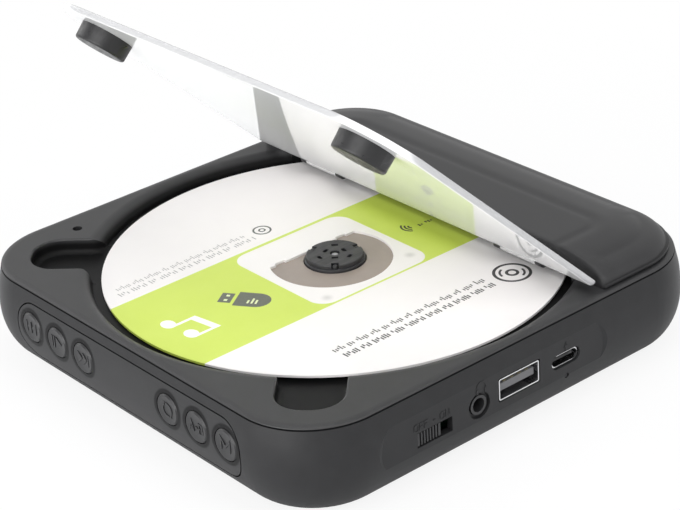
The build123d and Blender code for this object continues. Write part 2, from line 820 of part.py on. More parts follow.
with BuildPart() as main_board:
    with BuildSketch(Plane.XY.offset(main_board_bottom)):
        with Locations((sum(main_board_x) / 2, sum(main_board_y) / 2)):
            RectangleRounded(*board_size, board_corner_r)
        with Locations(*board_screw_xy):
            Circle(screw_r + screw_play, mode=Mode.SUBTRACT)
    extrude(amount=board_thickness)

main_board.part.label = "main_board"
export_step(main_board.part, "parts/main_board.step")

chip_height = 1.6
# place and size of each chip on the board
chips = [((42.0, -8.0), (12.0, 12.0)), ((40.0, 10.0), (8.0, 6.0)), ((44.0, -24.0), (6.0, 9.0))]

with BuildPart() as board_chips:
    with BuildSketch(Plane.XY.offset(main_board_top)):
        for chip_place, chip_size in chips:
            with Locations(chip_place):
                Rectangle(*chip_size)
    extrude(amount=chip_height)

board_chips.part.label = "board_chips"
export_step(board_chips.part, "parts/board_chips.step")


def right_face_plane(x, y, z):
    """Plane facing +X with its first axis along +Y and its second up."""
    return Plane(origin=(x, y, z), x_dir=(0, 1, 0), z_dir=(1, 0, 0))


usb_mouth_x = land_x - 0.1
shell_inner_r = 0.25

with BuildPart() as usb_a_shell:
    with BuildSketch(right_face_plane(usb_mouth_x, usb_a_y, usb_a_z)):
        RectangleRounded(usb_a_width, usb_a_height, socket_corner_r)
    extrude(amount=-usb_a_depth)
    with BuildSketch(right_face_plane(usb_mouth_x, usb_a_y, usb_a_z)):
        RectangleRounded(usb_a_width - 2 * shell_sheet, usb_a_height - 2 * shell_sheet, shell_inner_r)
    extrude(amount=shell_sheet - usb_a_depth, mode=Mode.SUBTRACT)

usb_a_shell.part.label = "usb_a_shell"
export_step(usb_a_shell.part, "parts/usb_a_shell.step")

tongue_length = 11.5
tongue_width = 11.1
tongue_base = 1.4
tongue_base_r = 0.3
tongue_thickness = 1.9
usb_back_x = usb_mouth_x - usb_a_depth + shell_sheet
tongue_z = usb_a_z + 0.1

with BuildPart() as usb_a_tongue:
    with BuildSketch(right_face_plane(usb_back_x, usb_a_y, usb_a_z)):
        RectangleRounded(usb_a_width - 2 * shell_sheet, usb_a_height - 2 * shell_sheet, tongue_base_r)
    extrude(amount=tongue_base)
    with BuildSketch(right_face_plane(usb_back_x, usb_a_y, tongue_z)):
        Rectangle(tongue_width, tongue_thickness)
    extrude(amount=tongue_length + tongue_base)

usb_a_tongue.part.label = "usb_a_tongue"
export_step(usb_a_tongue.part, "parts/usb_a_tongue.step")

contact_pitch = 2.4
contact_thickness = 0.25
contact_size = (9.0, 1.0)
contact_middle_x = usb_back_x + 8.0

with BuildPart() as usb_a_contacts:
    with BuildSketch(Plane.XY.offset(tongue_z + tongue_thickness / 2)):
        with Locations((contact_middle_x, usb_a_y)):
            with GridLocations(1, contact_pitch, 1, 4):
                Rectangle(*contact_size)
    extrude(amount=contact_thickness)

usb_a_contacts.part.label = "usb_a_contacts"
export_step(usb_a_contacts.part, "parts/usb_a_contacts.step")

usb_c_mouth_x = land_x - 0.6
usb_c_tongue_size = (6.7, 0.7)
usb_c_tongue_short = 1.2

with BuildPart() as usb_c_shell:
    with BuildSketch(right_face_plane(usb_c_mouth_x, usb_c_y, usb_c_z)):
        SlotOverall(usb_c_width, usb_c_height)
    extrude(amount=-usb_c_depth)
    with BuildSketch(right_face_plane(usb_c_mouth_x, usb_c_y, usb_c_z)):
        SlotOverall(usb_c_width - 2 * shell_sheet, usb_c_height - 2 * shell_sheet)
    extrude(amount=shell_sheet - usb_c_depth, mode=Mode.SUBTRACT)

usb_c_shell.part.label = "usb_c_shell"
export_step(usb_c_shell.part, "parts/usb_c_shell.step")

with BuildPart() as usb_c_tongue:
    with BuildSketch(right_face_plane(usb_c_mouth_x - usb_c_depth + shell_sheet, usb_c_y, usb_c_z)):
        Rectangle(*usb_c_tongue_size)
    extrude(amount=usb_c_depth - usb_c_tongue_short)

usb_c_tongue.part.label = "usb_c_tongue"
export_step(usb_c_tongue.part, "parts/usb_c_tongue.step")

usb_c_riser_height = usb_c_z - usb_c_height / 2 - main_board_top
riser_x = 61.9
riser_size = (3.8, 7.4)

with BuildPart() as usb_c_riser:
    with BuildSketch(Plane.XY.offset(main_board_top)):
        with Locations((riser_x, usb_c_y)):
            Rectangle(*riser_size)
    extrude(amount=usb_c_riser_height)

usb_c_riser.part.label = "usb_c_riser"
export_step(usb_c_riser.part, "parts/usb_c_riser.step")

jack_nose_x = land_x - 0.3
jack_body_x = (53.8, 65.6)
jack_body_width = 6.2
jack_nose_r = 2.5
jack_end = 1.0

with BuildPart() as headphone_jack:
    with BuildSketch(right_face_plane(jack_body_x[0], jack_y, jack_z)):
        Rectangle(jack_body_width, 2 * (jack_z - main_board_top))
    extrude(amount=jack_body_x[1] - jack_body_x[0])
    with BuildSketch(right_face_plane(jack_body_x[1], jack_y, jack_z)):
        Circle(jack_nose_r)
    extrude(amount=jack_nose_x - jack_body_x[1])
    with BuildSketch(right_face_plane(jack_body_x[0] + jack_end, jack_y, jack_z)):
        Circle(jack_bore_r)
    extrude(amount=jack_nose_x - jack_body_x[0] - jack_end, mode=Mode.SUBTRACT)

headphone_jack.part.label = "headphone_jack"
export_step(headphone_jack.part, "parts/headphone_jack.step")

lamp_start_x = 64.4
lamp_length = 3.2

with BuildPart() as charge_lamp:
    with BuildSketch(right_face_plane(lamp_start_x, lamp_y, lamp_z)):
        Circle(lamp_r)
    extrude(amount=lamp_length)

charge_lamp.part.label = "charge_lamp"
export_step(charge_lamp.part, "parts/charge_lamp.step")

switch_body_x = (59.2, 64.2)
knob_start_y = slot_y - slot_length / 2 + slot_end_gap
knob_y = knob_start_y + knob_length / 2
knob_front_x = land_x - 0.25
rib_count = 8
rib_pitch = knob_length / rib_count
rib_depth = 0.45
switch_body_size = (switch_body_x[1] - switch_body_x[0], 14.0)
switch_body_height = 2.9

with BuildPart() as switch_body:
    with BuildSketch(Plane.XY.offset(main_board_top)):
        with Locations((sum(switch_body_x) / 2, slot_y)):
            Rectangle(*switch_body_size)
    extrude(amount=switch_body_height)

switch_body.part.label = "switch_body"
export_step(switch_body.part, "parts/switch_body.step")

with BuildPart() as switch_knob:
    with BuildSketch(right_face_plane(switch_body_x[1] + fit_gap, knob_y, slot_z)):
        Rectangle(knob_length, knob_height)
    extrude(amount=knob_front_x - switch_body_x[1] - fit_gap)
    with BuildSketch(right_face_plane(knob_front_x, knob_y, slot_z)):
        with GridLocations(rib_pitch, 1, rib_count - 1, 1):
            Rectangle(rib_pitch / 2, knob_height)
    extrude(amount=-rib_depth, mode=Mode.SUBTRACT)

switch_knob.part.label = "switch_knob"
export_step(switch_knob.part, "parts/switch_knob.step")


# ---- battery, speakers, lid sensor --------------------------------------------------------------

battery_xy = (-4.0, -43.5)
battery_size = (56.0, 24.0)
battery_height = 6.0
battery_corner_r = 2.0
battery_edge_r = 0.8

with BuildPart() as battery:
    with BuildSketch(Plane.XY.offset(floor_top)):
        with Locations(battery_xy):
            RectangleRounded(*battery_size, battery_corner_r)
    extrude(amount=battery_height)
    fillet(battery.edges().filter_by(Axis.Z, reverse=True), battery_edge_r)

battery.part.label = "battery"
export_step(battery.part, "parts/battery.step")

basket_step = 2.6
basket_r = 11.0
cone_space_r = 12.4
cone_space_height = 2.2
cone_r = 12.3
cap_r = 4.0
cone_back_z = floor_top + 2.1
magnet_disc_r = 9.0
magnet_disc_edge = 0.6

with BuildPart() as speaker_frames:
    with BuildSketch(Plane.XY.offset(floor_top)):
        with Locations(*speaker_xy):
            Circle(speaker_r)
    extrude(amount=basket_step)
    with BuildSketch(Plane.XY.offset(floor_top + basket_step)):
        with Locations(*speaker_xy):
            Circle(basket_r)
    extrude(amount=basket_step)
    with BuildSketch(Plane.XY.offset(floor_top)):
        with Locations(*speaker_xy):
            Circle(cone_space_r)
    extrude(amount=cone_space_height, mode=Mode.SUBTRACT)

speaker_frames.part.label = "speaker_frames"
export_step(speaker_frames.part, "parts/speaker_frames.step")

with BuildPart() as speaker_cones:
    for speaker_x, speaker_y in speaker_xy:
        with BuildSketch(Plane.XZ.offset(-speaker_y)):
            with BuildLine():
                cap_middle = (speaker_x, cone_back_z - 1.2)
                cap_edge = (speaker_x + cap_r, cone_back_z - 0.8)
                cone_inner = (speaker_x + cap_r, cone_back_z - 0.2)
                cone_rim = (speaker_x + cone_r, cone_back_z - 0.7)
                cone_back = (speaker_x + cone_r, cone_back_z)
                Polyline(cap_middle, cap_edge, cone_inner, cone_rim, cone_back)
                Polyline(cone_back, (speaker_x, cone_back_z), cap_middle)
            make_face()
        revolve(axis=Axis((speaker_x, speaker_y, 0), (0, 0, 1)))

speaker_cones.part.label = "speaker_cones"
export_step(speaker_cones.part, "parts/speaker_cones.step")

with BuildPart() as speaker_magnets:
    with BuildSketch(Plane.XY.offset(floor_top + 2 * basket_step)):
        with Locations(*speaker_xy):
            Circle(magnet_disc_r)
    extrude(amount=speaker_height - 2 * basket_step)
    chamfer(speaker_magnets.faces().sort_by(Axis.Z)[-2:].edges(), magnet_disc_edge)

speaker_magnets.part.label = "speaker_magnets"
export_step(speaker_magnets.part, "parts/speaker_magnets.step")

sensor_height = 3.0

with BuildPart() as lid_sensor:
    with BuildSketch(Plane.XY.offset(rim_z - sensor_height)):
        with Locations(sensor_xy):
            Circle(sensor_r)
    extrude(amount=sensor_height)

lid_sensor.part.label = "lid_sensor"
export_step(lid_sensor.part, "parts/lid_sensor.step")


# ---- mechanism ----------------------------------------------------------------------------------

lens_slot_x = (-57.5, -13.0)
lens_slot_half = 8.0
slot_run = lens_slot_x[1] - lens_slot_x[0]
slot_middle_x = sum(lens_slot_x) / 2
lens_slot_r = 1.5
flange_play = 0.25
cover_post_x = (-44.0, 12.0)
cover_post_half = 21.0
cover_post_r = 2.2

with BuildPart() as mech_cover:
    with BuildSketch(Plane.XY.offset(mech_cover_top - mech_cover_thickness)):
        with Locations(main_centre):
            RectangleRounded(*main_size, mech_corner_r)
        with Locations(tongue_centre):
            Rectangle(*tongue_size)
        with Locations((0, disc_y)):
            Circle(flange_r + flange_play, mode=Mode.SUBTRACT)
        with Locations((slot_middle_x, disc_y)):
            RectangleRounded(slot_run, 2 * lens_slot_half, lens_slot_r, mode=Mode.SUBTRACT)
    extrude(amount=mech_cover_thickness)
    with BuildSketch(Plane.XY.offset(chassis_top)):
        with Locations(*[(x, disc_y + way * cover_post_half) for x in cover_post_x for way in (-1, 1)]):
            Circle(cover_post_r)
    extrude(amount=mech_cover_top - mech_cover_thickness - chassis_top)

mech_cover.part.label = "mech_cover"
export_step(mech_cover.part, "parts/mech_cover.step")

chassis_size = (chassis_x[1] - chassis_x[0], chassis_y[1] - chassis_y[0])
rod_ends = (-61.5, -11.0)
rod_ys = (disc_y - rod_spacing / 2, disc_y + rod_spacing / 2)
rod_overhang = 1.2
chassis_corner_r = 5.0
motor_hole_r = 6.0
chassis_slot_gap = 0.5
pinion_hole_r = 3.2
hanger_size = (2.4, 5.4)
hanger_under = 0.9
hanger_bottom = rod_z - rod_r - hanger_under
gear_shaft_r = 1.0
gear_shaft_bottom = 9.4
running_gap = 0.05

with BuildPart() as mech_chassis:
    with BuildSketch(Plane.XY.offset(chassis_bottom)):
        with Locations((sum(chassis_x) / 2, sum(chassis_y) / 2)):
            RectangleRounded(*chassis_size, chassis_corner_r)
        with Locations((0, disc_y)):
            Circle(motor_hole_r, mode=Mode.SUBTRACT)
        with Locations((slot_middle_x, disc_y)):
            Rectangle(
                slot_run + 2 * chassis_slot_gap,
                2 * (lens_slot_half + chassis_slot_gap),
                mode=Mode.SUBTRACT,
            )
        with Locations(*damper_xy):
            Circle(damper_neck_r, mode=Mode.SUBTRACT)
        with Locations(pinion_xy):
            Circle(pinion_hole_r, mode=Mode.SUBTRACT)
    extrude(amount=chassis_thickness)
    # hangers for the guide rods
    with BuildSketch(Plane.XY.offset(hanger_bottom)):
        with Locations(*[(x, y) for x in rod_ends for y in rod_ys]):
            Rectangle(*hanger_size)
    extrude(amount=chassis_bottom - hanger_bottom)
    for y in rod_ys:
        with BuildSketch(right_face_plane(rod_ends[0] - hanger_size[0], y, rod_z)):
            Circle(rod_r)
        extrude(amount=rod_ends[1] - rod_ends[0] + 2 * hanger_size[0], mode=Mode.SUBTRACT)
    # shaft of the intermediate gear
    with BuildSketch(Plane.XY.offset(gear_shaft_bottom)):
        with Locations(gear_xy):
            Circle(gear_shaft_r)
    extrude(amount=chassis_bottom - gear_shaft_bottom)

mech_chassis.part.label = "mech_chassis"
export_step(mech_chassis.part, "parts/mech_chassis.step")

with BuildPart() as dampers:
    with BuildSketch(Plane.XY.offset(chassis_bottom - damper_lip)):
        with Locations(*damper_xy):
            Circle(damper_r)
    extrude(amount=damper_lip)
    with BuildSketch(Plane.XY.offset(chassis_bottom)):
        with Locations(*damper_xy):
            Circle(damper_neck_r)
    extrude(amount=chassis_thickness)
    with BuildSketch(Plane.XY.offset(chassis_top)):
        with Locations(*damper_xy):
            Circle(damper_r)
    extrude(amount=damper_lip)
    with BuildSketch(Plane.XY.offset(chassis_bottom - damper_lip)):
        with Locations(*damper_xy):
            Circle(screw_r)
    extrude(amount=chassis_thickness + 2 * damper_lip, mode=Mode.SUBTRACT)

dampers.part.label = "dampers"
export_step(dampers.part, "parts/dampers.step")

motor_edge_r = 1.2
motor_nose_r = 3.0
motor_nose = 1.2
motor_cap = 2.0
motor_play = 0.04

with BuildPart() as spindle_motor:
    with BuildSketch(Plane.XY.offset(motor_bottom)):
        with Locations((0, disc_y)):
            Circle(spindle_motor_r)
    extrude(amount=chassis_bottom - motor_bottom)
    fillet(spindle_motor.edges().sort_by(Axis.Z)[0], motor_edge_r)
    with BuildSketch(Plane.XY.offset(chassis_bottom)):
        with Locations((0, disc_y)):
            Circle(motor_nose_r)
    extrude(amount=motor_nose)
    with BuildSketch(Plane.XY.offset(motor_bottom + motor_cap)):
        with Locations((0, disc_y)):
            Circle(shaft_r + motor_play)
    extrude(amount=chassis_top, mode=Mode.SUBTRACT)

spindle_motor.part.label = "spindle_motor"
export_step(spindle_motor.part, "parts/spindle_motor.step")

shaft_top = hub_top - 0.35
shaft_bottom = motor_bottom + motor_cap + 0.5
shaft_edge = 0.3

with BuildPart() as spindle_shaft:
    with BuildSketch(Plane.XY.offset(shaft_bottom)):
        with Locations((0, disc_y)):
            Circle(shaft_r)
    extrude(amount=shaft_top - shaft_bottom)
    chamfer(spindle_shaft.edges().sort_by(Axis.Z)[-1], shaft_edge)

spindle_shaft.part.label = "spindle_shaft"
export_step(spindle_shaft.part, "parts/spindle_shaft.step")

pawl_angles = (80, 200, 320)
pawl_r = 0.75
pawl_height = 0.85
pawl_place = hub_r - 0.85
pawl_pocket_place = hub_r - 0.4
pawl_pocket_size = (2.6, 1.9)
flange_edge = 0.15
hub_edge_r = 0.3
hub_neck_r = 4.0
hub_neck = 2.2
outer_slot_place = 4.4
inner_slot_place = 2.7
outer_slot_angle = pawl_angles[0] - 60
slot_size = (1.0, 1.7)
slot_depth = 0.7
centre_recess_r = 1.3

with BuildPart() as disc_hub:
    with BuildSketch(Plane.XY.offset(flange_bottom)):
        with Locations((0, disc_y)):
            Circle(flange_r)
    extrude(amount=flange_top - flange_bottom)
    chamfer(disc_hub.edges().sort_by(Axis.Z)[-1], flange_edge)
    with BuildSketch(Plane.XY.offset(flange_bottom - hub_neck)):
        with Locations((0, disc_y)):
            Circle(hub_neck_r)
    extrude(amount=hub_neck)
    with BuildSketch(Plane.XY.offset(flange_top)):
        with Locations((0, disc_y)):
            Circle(hub_r)
    extrude(amount=hub_top - flange_top)
    fillet(disc_hub.edges().sort_by(Axis.Z)[-1], hub_edge_r)
    # rim pockets of the clamping pawls
    with BuildSketch(Plane.XY.offset(flange_top)):
        with Locations((0, disc_y)):
            with PolarLocations(pawl_pocket_place, len(pawl_angles), start_angle=pawl_angles[0]):
                Rectangle(*pawl_pocket_size)
    extrude(amount=hub_top, mode=Mode.SUBTRACT)
    # small slots in the top face and the recess around the shaft
    with BuildSketch(Plane.XY.offset(hub_top - slot_depth)):
        with Locations((0, disc_y)):
            with PolarLocations(outer_slot_place, len(pawl_angles), start_angle=outer_slot_angle):
                Rectangle(*slot_size)
            with PolarLocations(inner_slot_place, len(pawl_angles), start_angle=pawl_angles[0]):
                Rectangle(*slot_size)
            Circle(centre_recess_r)
    extrude(amount=slot_depth, mode=Mode.SUBTRACT)
    with BuildSketch(Plane.XY.offset(flange_bottom - hub_neck)):
        with Locations((0, disc_y)):
            Circle(shaft_r)
    extrude(amount=hub_top, mode=Mode.SUBTRACT)

disc_hub.part.label = "disc_hub"
export_step(disc_hub.part, "parts/disc_hub.step")

with BuildPart() as clamp_pawls:
    for angle in pawl_angles:
        place = (pawl_place * cos(radians(angle)), disc_y + pawl_place * sin(radians(angle)), flange_top)
        with BuildSketch(Plane(origin=place)):
            Circle(pawl_r)
        extrude(amount=pawl_height)
    chamfer(clamp_pawls.edges().group_by(Axis.Z)[-1], shaft_edge)

clamp_pawls.part.label = "clamp_pawls"
export_step(clamp_pawls.part, "parts/clamp_pawls.step")

with BuildPart() as guide_rods:
    for y in rod_ys:
        with BuildSketch(right_face_plane(rod_ends[0] - rod_overhang, y, rod_z)):
            Circle(rod_r)
        extrude(amount=rod_ends[1] - rod_ends[0] + 2 * rod_overhang)

guide_rods.part.label = "guide_rods"
export_step(guide_rods.part, "parts/guide_rods.step")

sled_x = (lens_x - 5.0, lens_x + 8.0)
sled_half = 17.0
sled_bottom = 9.9
sled_top = 15.2
turret_top = 20.6
turret_step = 4.2
turret_size = (9.6, 14.4)
turret_x = lens_x + 1.5
turret_ring_r = 3.0
lens_r = 2.1
lens_height = 1.4
lens_edge_r = 0.9
lens_seat = 1.0

with BuildPart() as pickup_sled:
    with BuildSketch(Plane.XY.offset(sled_bottom)):
        with Locations((sum(sled_x) / 2, disc_y)):
            Rectangle(sled_x[1] - sled_x[0], 2 * sled_half)
    extrude(amount=sled_top - sled_bottom)
    with BuildSketch(Plane.XY.offset(sled_top)):
        with Locations((turret_x, disc_y)):
            Rectangle(*turret_size)
    extrude(amount=turret_step)
    with BuildSketch(Plane.XY.offset(sled_top + turret_step)):
        with Locations((lens_x, disc_y)):
            Circle(turret_ring_r)
    extrude(amount=turret_top - sled_top - turret_step)
    for y in rod_ys:
        with BuildSketch(right_face_plane(sled_x[0] - overcut, y, rod_z)):
            Circle(rod_r + running_gap)
        extrude(amount=sled_x[1] - sled_x[0] + 2 * overcut, mode=Mode.SUBTRACT)
    with BuildSketch(Plane.XY.offset(turret_top - lens_seat)):
        with Locations((lens_x, disc_y)):
            Circle(lens_r)
    extrude(amount=lens_seat, mode=Mode.SUBTRACT)

pickup_sled.part.label = "pickup_sled"
export_step(pickup_sled.part, "parts/pickup_sled.step")

with BuildPart() as objective_lens:
    with BuildSketch(Plane.XY.offset(turret_top - lens_seat)):
        with Locations((lens_x, disc_y)):
            Circle(lens_r)
    extrude(amount=lens_height)
    fillet(objective_lens.edges().sort_by(Axis.Z)[-1], lens_edge_r)

objective_lens.part.label = "objective_lens"
export_step(objective_lens.part, "parts/objective_lens.step")

rack_margin = 3.0
rack_start_x = gear_xy[0] - rack_margin
rack_length = sled_travel + 2 * rack_margin
tooth_pitch = 1.25
tooth_height = 0.8
mesh_gap = 0.3
rack_y = (disc_y + sled_half, gear_xy[1] - small_gear_r - mesh_gap - tooth_height)
rack_teeth = int(rack_length / tooth_pitch)

with BuildPart() as sled_rack:
    with BuildSketch(Plane.XY.offset(rack_z[0])):
        with Locations((rack_start_x + rack_length / 2, sum(rack_y) / 2)):
            Rectangle(rack_length, rack_y[1] - rack_y[0])
        with Locations((rack_start_x + rack_length / 2, rack_y[1] + tooth_height / 2)):
            with GridLocations(tooth_pitch, 1, rack_teeth, 1):
                Rectangle(tooth_pitch / 2, tooth_height)
    extrude(amount=rack_z[1] - rack_z[0])

sled_rack.part.label = "sled_rack"
export_step(sled_rack.part, "parts/sled_rack.step")


wheel_tooth_height = 0.6
wheel_tooth_overlap = 0.15


def toothed_wheel(place, radius, bottom, top, teeth, bore):
    """Spur wheel with square teeth inside radius."""
    with BuildPart() as wheel:
        with BuildSketch(Plane.XY.offset(bottom)):
            with Locations(place):
                Circle(radius - wheel_tooth_height)
                with PolarLocations(radius - (wheel_tooth_height + wheel_tooth_overlap) / 2, teeth):
                    Rectangle(wheel_tooth_height + wheel_tooth_overlap, tooth_pitch / 2)
                Circle(bore, mode=Mode.SUBTRACT)
        extrude(amount=top - bottom)
    return wheel.part


with BuildPart() as sled_gear:
    add(toothed_wheel(gear_xy, gear_r - fit_gap, *gear_z, 40, gear_shaft_r + running_gap))
    add(toothed_wheel(gear_xy, small_gear_r, rack_z[0], gear_z[0], 20, gear_shaft_r + running_gap))

sled_gear.part.label = "sled_gear"
export_step(sled_gear.part, "parts/sled_gear.step")

pinion_shaft_r = 0.5
pinion_shaft_bottom = 11.0

with BuildPart() as motor_pinion:
    add(toothed_wheel(pinion_xy, pinion_r, *gear_z, 12, pinion_shaft_r))
    with BuildSketch(Plane.XY.offset(pinion_shaft_bottom)):
        with Locations(pinion_xy):
            Circle(pinion_shaft_r)
    extrude(amount=gear_z[1] - pinion_shaft_bottom)

motor_pinion.part.label = "motor_pinion"
export_step(motor_pinion.part, "parts/motor_pinion.step")

sled_motor_r = 5.5
sled_motor_z = (4.0, 12.4)
sled_motor_edge_r = 0.8
collar_r = 4.2
collar_opening = (8.0, 12.0)
collar_web = 0.2
shaft_hole_bottom = 10.6

with BuildPart() as sled_motor:
    with BuildSketch(Plane.XY.offset(sled_motor_z[0])):
        with Locations(pinion_xy):
            Circle(sled_motor_r)
    extrude(amount=sled_motor_z[1] - sled_motor_z[0])
    fillet(sled_motor.edges().group_by(Axis.Z)[0], sled_motor_edge_r)
    # collar around the pinion, open towards the gear
    with BuildSketch(Plane.XY.offset(sled_motor_z[1])):
        with Locations(pinion_xy):
            Circle(sled_motor_r)
            Circle(collar_r, mode=Mode.SUBTRACT)
    extrude(amount=chassis_bottom - sled_motor_z[1])
    with BuildSketch(Plane.XY.offset(sled_motor_z[1])):
        with Locations((pinion_xy[0] - sled_motor_r, pinion_xy[1])):
            Rectangle(*collar_opening)
    extrude(amount=chassis_bottom - sled_motor_z[1] - collar_web, mode=Mode.SUBTRACT)
    with BuildSketch(Plane.XY.offset(shaft_hole_bottom)):
        with Locations(pinion_xy):
            Circle(pinion_shaft_r + running_gap)
    extrude(amount=sled_motor_z[1] - shaft_hole_bottom + overcut, mode=Mode.SUBTRACT)

sled_motor.part.label = "sled_motor"
export_step(sled_motor.part, "parts/sled_motor.step")


# ---- printed card in the well -------------------------------------------------------------------

chord_step = 0.7
# middles of the two small steps in the straight side of the hole
step_places = [(card_chord_x, 9.1), (card_chord_x, -11.2)]
step_length = 3.2

with BuildPart() as printed_card:
    with BuildSketch(Plane.XY.offset(mech_cover_top)):
        with Locations((0, disc_y)):
            Circle(card_r)
    extrude(amount=card_thickness)
    with BuildSketch(Plane.XY.offset(mech_cover_top)):
        with Locations(card_hole_xy):
            Circle(card_hole_r)
        with Locations((card_chord_x - card_hole_r, card_hole_xy[1])):
            Rectangle(2 * card_hole_r, 2 * card_hole_r, mode=Mode.SUBTRACT)
        with Locations(*step_places):
            Rectangle(2 * chord_step, step_length)
        with Locations((0, disc_y)):
            Circle(flange_r + flange_play)
    extrude(amount=card_thickness, mode=Mode.SUBTRACT)

printed_card.part.label = "printed_card"
export_step(printed_card.part, "parts/printed_card.step")


# ---- feet and fasteners -------------------------------------------------------------------------

with BuildPart() as rubber_feet:
    with BuildSketch(Plane.XY):
        with Locations(*foot_xy):
            Circle(foot_r)
    extrude(amount=case_bottom + foot_recess)
    chamfer(rubber_feet.edges().group_by(Axis.Z)[0], foot_edge)

rubber_feet.part.label = "rubber_feet"
export_step(rubber_feet.part, "parts/rubber_feet.step")


cross_width = 0.5
cross_depth = 0.7
cross_length = 1.2 * screw_head_r
case_screw_length = 14.0
cover_screw_length = 4.2
chassis_screw_length = 8.0


def screw(x, y, seat, head_down, length):
    """Cross-head screw whose head rests on the seat height and whose shank runs away from it."""
    away = 1 if head_down else -1
    with BuildPart() as piece:
        with BuildSketch(Plane.XY.offset(seat)):
            with Locations((x, y)):
                Circle(screw_head_r)
        extrude(amount=-away * screw_head_height)
        with BuildSketch(Plane.XY.offset(seat)):
            with Locations((x, y)):
                Circle(screw_r)
        extrude(amount=away * length)
        with BuildSketch(Plane.XY.offset(seat - away * screw_head_height)):
            with Locations((x, y)):
                Rectangle(cross_length, cross_width)
                Rectangle(cross_width, cross_length)
        extrude(amount=away * cross_depth, mode=Mode.SUBTRACT)
    return piece.part


with BuildPart() as case_screws:
    for x, y in case_screw_xy:
        add(screw(x, y, case_bottom + screw_head_depth, True, case_screw_length))

case_screws.part.label = "case_screws"
export_step(case_screws.part, "parts/case_screws.step")

with BuildPart() as cover_screws:
    for x, y in cover_screw_xy:
        add(screw(x, y, deck_bottom - lip_web, True, cover_screw_length))

cover_screws.part.label = "cover_screws"
export_step(cover_screws.part, "parts/cover_screws.step")

with BuildPart() as chassis_screws:
    for x, y in damper_xy:
        add(screw(x, y, chassis_top + damper_lip, False, chassis_screw_length))

chassis_screws.part.label = "chassis_screws"
export_step(chassis_screws.part, "parts/chassis_screws.step")

with BuildPart() as board_screws:
    for x, y in board_screw_xy:
        add(screw(x, y, main_board_top, False, board_thickness))

board_screws.part.label = "board_screws"
export_step(board_screws.part, "parts/board_screws.step")
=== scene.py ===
import math

import bmesh
import bpy
from mathutils import Matrix, Vector


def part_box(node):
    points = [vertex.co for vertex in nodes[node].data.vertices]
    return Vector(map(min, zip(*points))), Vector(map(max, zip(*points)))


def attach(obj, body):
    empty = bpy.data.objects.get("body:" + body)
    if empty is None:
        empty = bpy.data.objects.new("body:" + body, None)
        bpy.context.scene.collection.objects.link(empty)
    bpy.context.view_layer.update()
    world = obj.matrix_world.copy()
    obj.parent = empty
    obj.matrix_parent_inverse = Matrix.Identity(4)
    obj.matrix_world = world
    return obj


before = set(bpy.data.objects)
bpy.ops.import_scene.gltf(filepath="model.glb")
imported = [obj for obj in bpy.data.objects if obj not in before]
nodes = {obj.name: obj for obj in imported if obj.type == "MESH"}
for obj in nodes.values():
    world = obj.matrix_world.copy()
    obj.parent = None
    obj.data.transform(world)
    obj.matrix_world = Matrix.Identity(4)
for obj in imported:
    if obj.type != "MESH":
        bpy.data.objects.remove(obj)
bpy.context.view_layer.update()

MM = 0.001


# ---- material helpers ---------------------------------------------------------------------------

